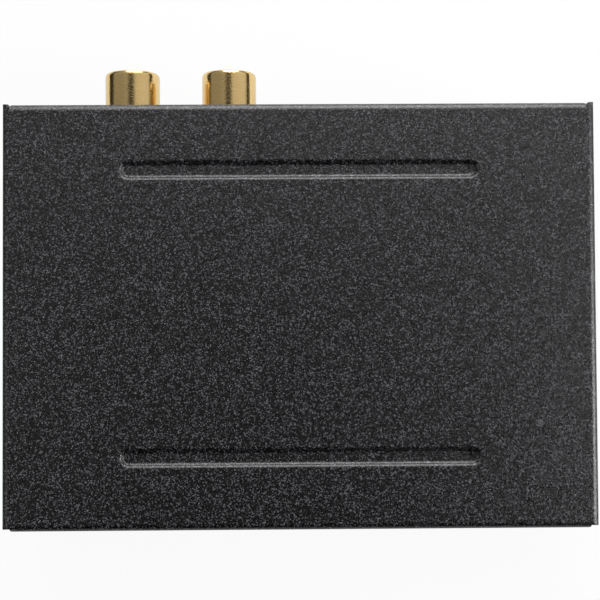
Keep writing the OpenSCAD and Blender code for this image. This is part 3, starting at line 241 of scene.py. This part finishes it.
class MetalSettings(bpy.types.PropertyGroup):
    """The plated and bare metals."""

    gold: colour_property("Gold", "Colour of the gold plating", (0.83, 0.60, 0.27))
    deep_gold: colour_property("Deep gold", "Colour of the gold in its film's patches", (0.72, 0.47, 0.17))
    gold_roughness: share_property("Gold roughness", "Roughness of the polished gold", 0.13)
    nickel: colour_property("Nickel", "Colour of the plated shells", (0.62, 0.60, 0.56))
    brass: colour_property("Brass", "Colour of the standoffs", (0.68, 0.50, 0.22))
    zinc: colour_property("Zinc", "Colour of the board screws", (0.62, 0.63, 0.65))
    tin: colour_property("Tin", "Colour of the leads", (0.66, 0.66, 0.66))
    can: colour_property("Can", "Colour of the drawn cans", (0.70, 0.70, 0.71))
    black_oxide: colour_property("Black oxide", "Colour of the cover screws", (0.028, 0.028, 0.03))
    film: length_property("Film", "Size of the patches in the gold's film", 1.6 * MM)
    peel: length_property("Peel", "Distance between the faint pits of the gold", 0.3 * MM)
    peel_depth: length_property("Peel depth", "Depth of the faint pits of the gold", 0.017 * MM)
    turning: length_property("Turning", "Distance between the marks left by turning", 0.06 * MM)


class MouldingSettings(bpy.types.PropertyGroup):
    """The moulded pieces."""

    black: colour_property("Black", "Colour of the black mouldings", (0.022, 0.022, 0.024))
    white: colour_property("White", "Colour of the left jack's insert", (0.78, 0.78, 0.75))
    red: colour_property("Red", "Colour of the right jack's insert", (0.52, 0.025, 0.03))
    brown: colour_property("Brown", "Colour of the switch's base", (0.20, 0.095, 0.04))
    shutter: colour_property("Shutter", "Colour of the optical socket's shutter", (0.045, 0.046, 0.05))
    rubber: colour_property("Rubber", "Colour of the feet", (0.018, 0.018, 0.018))
    bloom: colour_property("Bloom", "Colour of the dusty bloom on the feet", (0.06, 0.058, 0.055))
    lens: colour_property("Lens", "Colour of the lamp's lens", (0.55, 0.02, 0.02))
    haze: colour_property("Haze", "Colour of the haze in the lens", (0.75, 0.06, 0.05))
    grain: length_property("Grain", "Grain of the moulds", 0.09 * MM)
    edge_r: length_property("Edge", "Rounding of the mouldings' edges", 0.1 * MM)
    rubber_grain: length_property("Rubber grain", "Grain of the feet", 0.12 * MM)
    bloom_size: length_property("Bloom size", "Size of the bloom's patches", 2.2 * MM)
    haze_size: length_property("Haze size", "Size of the haze's patches", 0.8 * MM)


class BoardSettings(bpy.types.PropertyGroup):
    """The circuit board and what it carries."""

    mask: colour_property("Mask", "Colour of the solder mask", (0.012, 0.10, 0.035))
    copper: colour_property("Tracks", "Colour of the mask over a copper track", (0.03, 0.19, 0.065))
    glass: colour_property("Laminate", "Colour of the board's cut edges", (0.36, 0.33, 0.17))
    track: length_property("Track", "Distance between the tracks", 1.27 * MM)
    fibre: length_property("Fibre", "Distance between the laminate's fibres", 0.25 * MM)
    chip: colour_property("Chips", "Colour of the chips' bodies", (0.022, 0.022, 0.024))
    chip_grain: length_property("Chip grain", "Grain of the chips' moulds", 0.07 * MM)
    chip_edge_r: length_property("Chip edge", "Rounding of the chips' edges", 0.06 * MM)
    ferrite: colour_property("Ferrite", "Colour of the inductor", (0.10, 0.10, 0.105))
    ferrite_grain: length_property("Ferrite grain", "Grain of the inductor", 0.05 * MM)
    ferrite_edge_r: length_property("Ferrite edge", "Rounding of the inductor's edges", 0.08 * MM)


class StageSettings(bpy.types.PropertyGroup):
    """The floor, the lights and the camera."""

    floor_colour: colour_property("Floor", "Colour of the floor", (0.86, 0.86, 0.86))
    floor_size: length_property("Floor size", "Width of the floor", 8.0)
    white_share: share_property("White share", "Share of plain white in the floor that the camera sees", 0.92)
    mirror_share: share_property(
        "Mirror share", "Share of plain white in the floor that gloss and glass show", 0.5)
    card_colour: colour_property("Cards", "Colour of the dark cards", (0.02, 0.02, 0.02))
    card_gap: length_property("Card gap", "Distance from the case's sides to the dark cards", 32 * MM)
    rear_power: plain_property("Rear light", "Power of the large light behind the box, in watts", 6.4)
    right_power: plain_property("Right light", "Power of the light on the right, in watts", 2.6)
    left_power: plain_property("Left light", "Power of the light on the left, in watts", 0.25)
    sky: share_property("Sky", "Strength of the light from all round", 0.36)
    lens: plain_property("Lens", "Focal length of the camera, in millimetres", 70.88)
    distance: length_property("Distance", "Distance of the camera from the cover's top", 174.357 * MM)
    pitch: angle_property("Pitch", "How far the camera leans to the front", -0.02826)
    roll: angle_property("Roll", "How far the camera leans to the side", 0.01012)
    turn: angle_property("Turn", "How far the camera is turned round its own axis", 0.00611)
    aside: shift_property("Aside", "Place of the camera's axis beside the cover's middle", 0.0063 * MM)
    ahead: shift_property("Ahead", "Place of the camera's axis behind the cover's middle", -2.30653 * MM)
    case_depth: length_property("Case depth", "Depth of the case from lip to lip", 63.1 * MM)


SETTINGS = {
    "coat_settings": CoatSettings,
    "metal_settings": MetalSettings,
    "moulding_settings": MouldingSettings,
    "board_settings": BoardSettings,
    "stage_settings": StageSettings,
}


def colour4(colour):
    """A colour with its fourth number, as a shader socket wants it."""
    return (*colour, 1.0)


def darker(colour, share):
    """A colour at a share of its brightness."""
    return tuple(share * c for c in colour)


class ShaderTree:
    """A node tree, with short calls that add nodes to it."""

    def __init__(self, tree):
        self.tree = tree

    def feed(self, socket, value):
        """Links an output to a socket, or sets the socket to a value."""
        if isinstance(value, bpy.types.NodeSocket):
            self.tree.links.new(value, socket)
        else:
            socket.default_value = value

    def node(self, kind, inputs=None, **settings):
        """A node with the given settings and inputs."""
        made = self.tree.nodes.new(kind)
        for name, value in settings.items():
            setattr(made, name, value)
        for name, value in (inputs or {}).items():
            self.feed(made.inputs[name], value)
        return made

    def maths(self, operation, first, second=0.0, clamp=False):
        """The result of one sum."""
        made = self.node("ShaderNodeMath", {0: first, 1: second}, operation=operation, use_clamp=clamp)
        return made.outputs["Value"]

    def between(self, value, low, high, to_low=0.0, to_high=1.0, **settings):
        """A value carried from one range to another, and held at its ends."""
        inputs = {"Value": value, "From Min": low, "From Max": high, "To Min": to_low, "To Max": to_high}
        return self.node("ShaderNodeMapRange", inputs, **settings).outputs["Result"]

    def mixed(self, share, first, second):
        """A shader between two shaders."""
        return self.node("ShaderNodeMixShader", {0: share, 1: first, 2: second}).outputs["Shader"]


class Finish(ShaderTree):
    """A new material with its main shader, and short calls for its texture."""

    def __init__(self, name, colour, roughness, metallic=0.0, specular=0.5):
        self.material = bpy.data.materials.new(name)
        self.material.use_nodes = True
        super().__init__(self.material.node_tree)
        self.shader = self.tree.nodes["Principled BSDF"]
        self.set("Base Color", colour4(colour))
        self.set("Metallic", metallic)
        self.set("Roughness", roughness)
        self.set("Specular IOR Level", specular)
        self.place = self.node("ShaderNodeTexCoord").outputs["Object"]

    def set(self, socket, value):
        """Sets a socket of the main shader to a value, or links an output to it."""
        self.feed(self.shader.inputs[socket], value)

    def stretched(self, scale):
        """The object's coordinates stretched along its axes."""
        return self.node("ShaderNodeMapping", {"Vector": self.place, "Scale": scale}).outputs["Vector"]

    def noise(self, size, detail=2.0, rough=0.5, vector=None):
        """Soft noise whose lumps are about as large as size."""
        inputs = {"Vector": vector or self.place, "Scale": 1 / size, "Detail": detail, "Roughness": rough}
        return self.node("ShaderNodeTexNoise", inputs).outputs["Fac"]

    def cells(self, size):
        """The outputs of a pattern of cells about as large as size, each with its own middle and colour."""
        return self.node("ShaderNodeTexVoronoi", {"Vector": self.place, "Scale": 1 / size}).outputs

    def grains(self, size):
        """A value from 0 to 1 that differs from grain to grain, each about as large as size."""
        colour = self.cells(size)["Color"]
        return self.node("ShaderNodeSeparateColor", {"Color": colour}).outputs["Red"]

    def normal(self):
        """The direction of the surface as it was modelled."""
        return self.node("ShaderNodeNewGeometry").outputs["Normal"]

    def blend(self, share, first, second):
        """A colour between two colours."""
        made = self.node("ShaderNodeMix", data_type="RGBA")
        self.feed(made.inputs[MIX_SHARE], share)
        for place, colour in ((MIX_FIRST, first), (MIX_SECOND, second)):
            linked = isinstance(colour, bpy.types.NodeSocket)
            self.feed(made.inputs[place], colour if linked else colour4(colour))
        return made.outputs[MIX_RESULT]

    def rounded_edge(self, radius):
        """The surface's direction with its sharp edges rounded."""
        return self.node("ShaderNodeBevel", {"Radius": radius}, samples=BEVEL_SAMPLES).outputs["Normal"]

    def edge_share(self, rounded, gain):
        """0 on flat faces, and up to 1 at sharp edges."""
        dot = self.node("ShaderNodeVectorMath", {0: rounded, 1: self.normal()}, operation="DOT_PRODUCT")
        gap = self.maths("SUBTRACT", 1.0, dot.outputs["Value"])
        return self.maths("MULTIPLY", gap, gain, clamp=True)

    def bump(self, height, distance, normal=None):
        """The surface's direction over a relief of the given depth."""
        inputs = {"Height": height, "Distance": distance}
        if normal is not None:
            inputs["Normal"] = normal
        return self.node("ShaderNodeBump", inputs).outputs["Normal"]

    def showing(self, noise, look):
        """The share of a look that a soft noise brings in."""
        low, high, most = look
        return self.between(noise, low, high, 0.0, most)

    def vary_roughness(self, noise, roughness, swing):
        """Lets the roughness wander with a soft noise about its usual value."""
        fall, rise = swing
        self.set("Roughness", self.between(noise, *NOISE_SPAN, roughness - fall, roughness + rise))

    def clear_gloss(self, weight, roughness):
        """A clear layer over the surface."""
        self.set("Coat Weight", weight)
        self.set("Coat Roughness", roughness)


def dress(nodes, material):
    """Gives CAD nodes their material."""
    for name in nodes:
        NODES[name].material_slots[0].material = material


def powder_coat(coat, name):
    """Black powder coat with fine bright grains painted in as glints, and edges lightened by rubbed wear and
    a painted highlight, which dulls towards a view along it.
    """
    made = Finish(name, coat.colour, roughness=coat.roughness, specular=coat.shine)
    relief = made.noise(coat.grain * RELIEF_SHARE, rough=RELIEF_ROUGH)
    grains = made.grains(coat.grain)
    rounded = made.rounded_edge(coat.edge_r)
    # Painted glints: bright grains in the coat's colour
    colour = made.blend(made.between(grains, *GLINT_GRAINS), coat.colour, coat.bright)
    # Lighter edges: rubbed wear and a painted highlight together
    wear_and_highlight = made.maths("MULTIPLY", made.edge_share(rounded, WEAR_HIGHLIGHT_GAIN), made.between(relief, *WEAR_HIGHLIGHT_SPAN))
    made.set("Base Color", made.blend(wear_and_highlight, colour, coat.worn_and_highlit_edge))
    facing = made.node("ShaderNodeLayerWeight").outputs["Facing"]
    dulled = made.maths("MULTIPLY", made.maths("POWER", facing, DULLING_POWER), coat.dulling)
    gloss = made.between(grains, 0.0, 1.0, coat.roughness + GRAIN_SWING, coat.roughness - GRAIN_SWING)
    made.set("Roughness", made.maths("ADD", gloss, dulled, clamp=True))
    made.set("Normal", made.bump(relief, coat.relief, normal=rounded))
    return made.material


def polished_gold(metals):
    """Polished gold plating over turned brass, with faint turning marks and pits."""
    made = Finish("gold_plating", metals.gold, roughness=metals.gold_roughness, metallic=1.0)
    rings = made.noise(metals.turning, detail=1.0, vector=made.stretched(TURNED))
    film = made.noise(metals.film, detail=3.0)
    pits = made.noise(metals.peel)
    pitted = made.bump(pits, metals.peel_depth, normal=made.rounded_edge(GOLD_EDGE_R))
    made.set("Base Color", made.blend(made.showing(film, GOLD_FILM), metals.gold, metals.deep_gold))
    made.vary_roughness(rings, metals.gold_roughness, GOLD_SWING)
    made.set("Normal", made.bump(rings, TURNING_DEPTH, normal=pitted))
    return made.material


def plated(name, colour):
    """Plated or drawn metal with fine scratches and duller patches."""
    roughness, scratch = METAL_FINISHES[name]
    made = Finish(name, colour, roughness=roughness, metallic=1.0)
    scratches = made.noise(scratch, vector=made.stretched(SCRATCHED))
    patches = made.noise(scratch * PATCH_SCRATCHES, detail=3.0)
    rounded = made.rounded_edge(METAL_EDGE_R)
    dull = darker(colour, PATCH_SHARE)
    made.set("Base Color", made.blend(made.showing(patches, METAL_PATCHES), colour, dull))
    made.vary_roughness(patches, roughness, METAL_SWING)
    made.set("Normal", made.bump(scratches, SCRATCH_DEPTH, normal=rounded))
    return made.material


def moulded(name, colour, grain, edge_r):
    """Moulded plastic with the fine grain of its mould and slightly paler edges."""
    roughness, gloss = MOULDING_FINISHES[name]
    made = Finish(name, colour, roughness=roughness)
    fine = made.noise(grain)
    flow = made.noise(grain * FLOW_GRAINS)
    rounded = made.rounded_edge(edge_r)
    pale = tuple(min(1.0, PALE_GAIN * c + PALE_LIFT) for c in colour)
    base = made.blend(made.showing(flow, MOULD_FLOW), colour, pale)
    made.set("Base Color", made.blend(made.edge_share(rounded, PALE_EDGE_GAIN), base, pale))
    made.vary_roughness(flow, roughness, MOULD_SWING)
    made.clear_gloss(gloss, CLEAR_ROUGHNESS)
    made.set("Normal", made.bump(fine, grain * GRAIN_DEPTH_SHARE, normal=rounded))
    return made.material


def rubber(mouldings):
    """Matt rubber with a dusty bloom."""
    made = Finish("rubber_foot", mouldings.rubber, roughness=RUBBER_ROUGHNESS, specular=RUBBER_SHINE)
    grain = made.noise(mouldings.rubber_grain, detail=3.0)
    bloom = made.noise(mouldings.bloom_size, detail=4.0, rough=BLOOM_ROUGH)
    made.set("Base Color", made.blend(made.showing(bloom, RUBBER_BLOOM), mouldings.rubber, mouldings.bloom))
    made.vary_roughness(bloom, RUBBER_ROUGHNESS, RUBBER_SWING)
    made.set("Normal", made.bump(grain, RUBBER_RELIEF, normal=made.rounded_edge(mouldings.edge_r)))
    return made.material


def lamp_lens(mouldings):
    """Clear tinted resin with a faint haze."""
    made = Finish("lamp_lens", mouldings.lens, roughness=LENS_ROUGHNESS)
    haze = made.noise(mouldings.haze_size)
    made.set("Base Color", made.blend(made.showing(haze, LENS_HAZE), mouldings.lens, mouldings.haze))
    made.vary_roughness(haze, LENS_ROUGHNESS, LENS_SWING)
    made.set("Transmission Weight", LENS_CLEARNESS)
    made.set("IOR", LENS_IOR)
    made.clear_gloss(*LENS_GLOSS)
    return made.material


def track_pattern(made, board):
    """1 over the copper tracks and pads, and 0 between them."""
    lanes = made.node(
        "ShaderNodeTexBrick",
        {
            "Vector": made.place,
            "Scale": 1.0,
            "Mortar Size": board.track * TRACK_SHARE,
            "Mortar Smooth": TRACK_BLUR,
            "Brick Width": board.track * LANE_TRACKS,
            "Row Height": board.track,
        },
        offset=LANE_SHIFT_SHARE)
    tracks = made.maths("MULTIPLY", lanes.outputs["Fac"], TRACK_STRENGTH)
    pads = made.between(made.cells(board.track * PAD_TRACKS)["Distance"], *PAD_SPAN, 1.0, 0.0)
    return made.maths("MAXIMUM", tracks, pads, clamp=True)


def solder_mask(board):
    """A laminated board: copper tracks under the mask, and bare laminate on the cut edges."""
    made = Finish("board_laminate", board.mask, roughness=MASK_ROUGHNESS)
    copper = track_pattern(made, board)
    direction = made.node("ShaderNodeSeparateXYZ", {0: made.normal()})
    cut_edge = made.between(made.maths("ABSOLUTE", direction.outputs["Z"]), *CUT_EDGE_SPAN, 1.0, 0.0)
    fibres = made.noise(board.fibre, vector=made.stretched(FIBRE_STRETCH))
    laminate = made.blend(made.between(fibres, *FIBRE_SPAN), board.glass, darker(board.glass, FIBRE_SHARE))
    masked = made.blend(copper, board.mask, board.copper)
    made.set("Base Color", made.blend(cut_edge, masked, laminate))
    made.vary_roughness(fibres, MASK_ROUGHNESS, MASK_SWING)
    made.clear_gloss(*MASK_GLOSS)
    made.set("Normal", made.bump(copper, MASK_STEP))
    return made.material


class OBJECT_OT_dress_case(bpy.types.Operator):
    """Coats the folded cover and tray, and dresses their screws and feet"""

    bl_idname = "object.dress_case"
    bl_label = "Case"

    def execute(self, context):
        scene = context.scene
        dress(["top_cover"], powder_coat(scene.coat_settings, "powder_coat"))
        dress(["base_tray"], powder_coat(scene.coat_settings, "tray_coat"))
        dress(["cover_screws"], plated("black_screw", scene.metal_settings.black_oxide))
        feet = [f"{end}_{side}_foot" for end in ("front", "rear") for side in ("left", "right")]
        dress(feet, rubber(scene.moulding_settings))
        return {"FINISHED"}


class OBJECT_OT_dress_audio_jacks(bpy.types.Operator):
    """Gilds the barrels of the phono jacks and the sockets' contacts, and moulds the jacks' inserts"""

    bl_idname = "object.dress_audio_jacks"
    bl_label = "Audio jacks"

    def execute(self, context):
        mouldings = context.scene.moulding_settings
        gold = polished_gold(context.scene.metal_settings)
        jacks = [f"{side}_audio_{piece}" for side in ("left", "right") for piece in ("barrel", "contact")]
        dress(jacks + ["video_out_contacts", "video_in_contacts"], gold)
        inserts = [("left", "white_moulding", mouldings.white), ("right", "red_moulding", mouldings.red)]
        for side, name, colour in inserts:
            dress([f"{side}_audio_insulator"], moulded(name, colour, mouldings.grain, mouldings.edge_r))
        return {"FINISHED"}


class OBJECT_OT_dress_sockets(bpy.types.Operator):
    """Dresses the video sockets, the optical socket, the power jack, the switch and the lamp"""

    bl_idname = "object.dress_sockets"
    bl_label = "Sockets"

    def execute(self, context):
        metals = context.scene.metal_settings
        mouldings = context.scene.moulding_settings
        housings = ["audio_jack_housing", "optical_housing", "power_jack_housing"]
        black_pieces = housings + ["video_out_insert", "video_in_insert", "switch_slider"]
        nickel_pieces = ["video_out_shell", "video_in_shell", "power_jack_pin", "switch_frame"]
        for name, colour, nodes in (
            ("black_moulding", mouldings.black, black_pieces),
            ("shutter_moulding", mouldings.shutter, ["optical_shutter"]),
            ("emitter_moulding", mouldings.shutter, ["optical_emitter"]),
            ("brown_moulding", mouldings.brown, ["switch_base"]),
        ):
            dress(nodes, moulded(name, colour, mouldings.grain, mouldings.edge_r))
        for name, colour, nodes in (
            ("nickel_shell", metals.nickel, nickel_pieces),
            ("spring_metal", metals.nickel, ["shutter_spring", "power_jack_leaf"]),
            ("tinned_lead", metals.tin, ["lamp_leads"]),
        ):
            dress(nodes, plated(name, colour))
        dress(["power_lamp"], lamp_lens(mouldings))
        return {"FINISHED"}


class OBJECT_OT_dress_board(bpy.types.Operator):
    """Dresses the circuit board, its fasteners and what it carries"""

    bl_idname = "object.dress_board"
    bl_label = "Circuit board"

    def execute(self, context):
        metals = context.scene.metal_settings
        board = context.scene.board_settings
        dress(["circuit_board"], solder_mask(board))
        dress(["board_standoffs"], plated("yellow_brass", metals.brass))
        dress(["board_screws"], plated("zinc_screw", metals.zinc))
        dress(["clock_crystal", "filter_capacitors"], plated("bare_can", metals.can))
        chips = ["processor_chip", "audio_chip", "memory_chip", "voltage_regulator", "chip_resistors"]
        dress(chips, moulded("chip_moulding", board.chip, board.chip_grain, board.chip_edge_r))
        ferrite = moulded("ferrite", board.ferrite, board.ferrite_grain, board.ferrite_edge_r)
        dress(["power_inductor"], ferrite)
        return {"FINISHED"}


def floor_material(stage):
    """Pale paper, partly plain white to the camera and in reflections, that keeps the box's shadow."""
    made = Finish("studio_floor", stage.floor_colour, roughness=PAPER_ROUGHNESS, specular=PAPER_SHINE)
    ways = made.node("ShaderNodeLightPath").outputs
    mirrored = made.maths("MAXIMUM", ways["Is Glossy Ray"], ways["Is Transmission Ray"])
    mirrored = made.maths("MULTIPLY", mirrored, stage.mirror_share)
    seen = made.maths("MULTIPLY", ways["Is Camera Ray"], stage.white_share)
    share = made.maths("MAXIMUM", seen, mirrored)
    white = made.node("ShaderNodeEmission", {"Color": colour4(WHITE), "Strength": 1.0})
    surface = made.mixed(share, made.shader.outputs["BSDF"], white.outputs["Emission"])
    made.feed(made.tree.nodes["Material Output"].inputs["Surface"], surface)
    return made.material


def flat_piece(name, near, far, height, material):
    """A flat rectangle between two corners, at a height over the ground."""
    mesh = bpy.data.meshes.new(name)
    places = [(near[0], near[1]), (far[0], near[1]), (far[0], far[1]), (near[0], far[1])]
    mesh.from_pydata([(*place, height) for place in places], [], [(0, 1, 2, 3)])
    mesh.materials.append(material)
    piece = bpy.data.objects.new(name, mesh)
    bpy.context.scene.collection.objects.link(piece)
    return piece


def add_floor(stage):
    """A wide floor that the feet stand on."""
    half = stage.floor_size / 2
    floor = flat_piece("floor", (-half, -half), (half, half), 0, floor_material(stage))


def add_cards(stage):
    """Dark cards on the floor beside the box, seen only in gloss and glass, that draw lines in the gold."""
    dark = Finish("dark_card", stage.card_colour, roughness=PAPER_ROUGHNESS, specular=PAPER_SHINE).material
    inner = COVER_HIGH.x + stage.card_gap
    outer = inner + CARD_SIZE[0]
    half = CARD_SIZE[1] / 2
    for name, side in (("left_card", -1), ("right_card", 1)):
        card = flat_piece(name, (side * inner, -half), (side * outer, half), CARD_LIFT, dark)
        card.visible_camera = False
        card.visible_diffuse = False
        card.visible_shadow = False


def add_light(name, power, place, size):
    """An area light that shines from a place at the box's middle."""
    lamp = bpy.data.lights.new(name, "AREA")
    lamp.energy = power
    lamp.shape = "RECTANGLE"
    lamp.size, lamp.size_y = size
    light = bpy.data.objects.new(name, lamp)
    light.location = place
    light.rotation_mode = "QUATERNION"
    light.rotation_quaternion = (Vector(place) - BOX_MIDDLE).to_track_quat("Z", "Y")
    bpy.context.scene.collection.objects.link(light)


def add_sky(stage):
    """Soft light from all round, dark overhead and dim in front, behind a backdrop that looks white."""
    world = bpy.data.worlds.new("studio")
    bpy.context.scene.world = world
    world.use_nodes = True
    world.node_tree.nodes.clear()
    made = ShaderTree(world.node_tree)
    around = made.node("ShaderNodeTexCoord").outputs["Generated"]
    direction = made.node("ShaderNodeSeparateXYZ", {0: around})
    strength = 1.0
    for axis, *slope in SKY_SLOPES:
        step = made.between(direction.outputs[axis], *slope, interpolation_type="SMOOTHSTEP")
        strength = made.maths("MULTIPLY", strength, step)
    grey = colour4(darker(WHITE, stage.sky))
    sky = made.node("ShaderNodeBackground", {"Color": grey, "Strength": strength})
    backdrop = made.node("ShaderNodeBackground", {"Color": colour4(WHITE)})
    ways = made.node("ShaderNodeLightPath").outputs
    seen = made.maths("MAXIMUM", ways["Is Camera Ray"], ways["Is Transmission Ray"])
    surface = made.mixed(seen, sky.outputs["Background"], backdrop.outputs["Background"])
    made.node("ShaderNodeOutputWorld", {"Surface": surface})


def add_camera(stage):
    """A camera over the box that looks almost straight down."""
    data = bpy.data.cameras.new("camera")
    data.lens = stage.lens
    data.sensor_width = SENSOR_W
    data.clip_start = CLIP_NEAR
    data.clip_end = CLIP_FAR
    camera = bpy.data.objects.new("camera", data)
    middle = Vector((0, COVER_LOW.y + stage.case_depth / 2, COVER_HIGH.z))
    turned = Matrix.Rotation(stage.turn, 3, "Z") @ Matrix.Rotation(stage.pitch, 3, "X")
    lean = (turned @ Matrix.Rotation(stage.roll, 3, "Y")).transposed()
    raised = Matrix.Translation((-stage.aside, -stage.ahead, stage.distance))
    camera.matrix_world = Matrix.Translation(middle) @ lean.to_4x4() @ raised
    bpy.context.scene.collection.objects.link(camera)
    bpy.context.scene.camera = camera


class OBJECT_OT_set_stage(bpy.types.Operator):
    """Adds the pale floor, the dark cards, the studio lights, the sky and the camera"""

    bl_idname = "object.set_stage"
    bl_label = "Stage"

    def execute(self, context):
        stage = context.scene.stage_settings
        add_floor(stage)
        add_cards(stage)
        for name, setting, place, size in LIGHTS:
            add_light(name, getattr(stage, setting), place, size)
        add_sky(stage)
        add_camera(stage)
        context.scene.view_settings.view_transform = "Standard"
        return {"FINISHED"}


OPERATORS = [
    OBJECT_OT_dress_case,
    OBJECT_OT_dress_audio_jacks,
    OBJECT_OT_dress_sockets,
    OBJECT_OT_dress_board,
    OBJECT_OT_set_stage,
]


class VIEW3D_PT_box(bpy.types.Panel):
    """Lists the box's settings and the steps that dress it"""

    bl_idname = "VIEW3D_PT_box"
    bl_label = "Audio extractor box"
    bl_space_type = "VIEW_3D"
    bl_region_type = "UI"
    bl_category = "Box"

    def draw(self, context):
        for operator in OPERATORS:
            self.layout.operator(operator.bl_idname)
        for name, group in SETTINGS.items():
            box = self.layout.box()
            for setting in group.__annotations__:
                box.prop(getattr(context.scene, name), setting)


CLASSES = [*SETTINGS.values(), *OPERATORS, VIEW3D_PT_box]


def register():
    """Registers the classes, and hangs each group of settings on the scene."""
    for each in CLASSES:
        bpy.utils.register_class(each)
    for name, group in SETTINGS.items():
        setattr(bpy.types.Scene, name, bpy.props.PointerProperty(type=group))


def unregister():
    """Takes the settings and the classes away again."""
    for name in SETTINGS:
        delattr(bpy.types.Scene, name)
    for each in reversed(CLASSES):
        bpy.utils.unregister_class(each)


def main():
    """Dresses the box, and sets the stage."""
    register()
    bpy.ops.object.dress_case()
    bpy.ops.object.dress_audio_jacks()
    bpy.ops.object.dress_sockets()
    bpy.ops.object.dress_board()
    bpy.ops.object.set_stage()


if __name__ == "__main__":
    main()
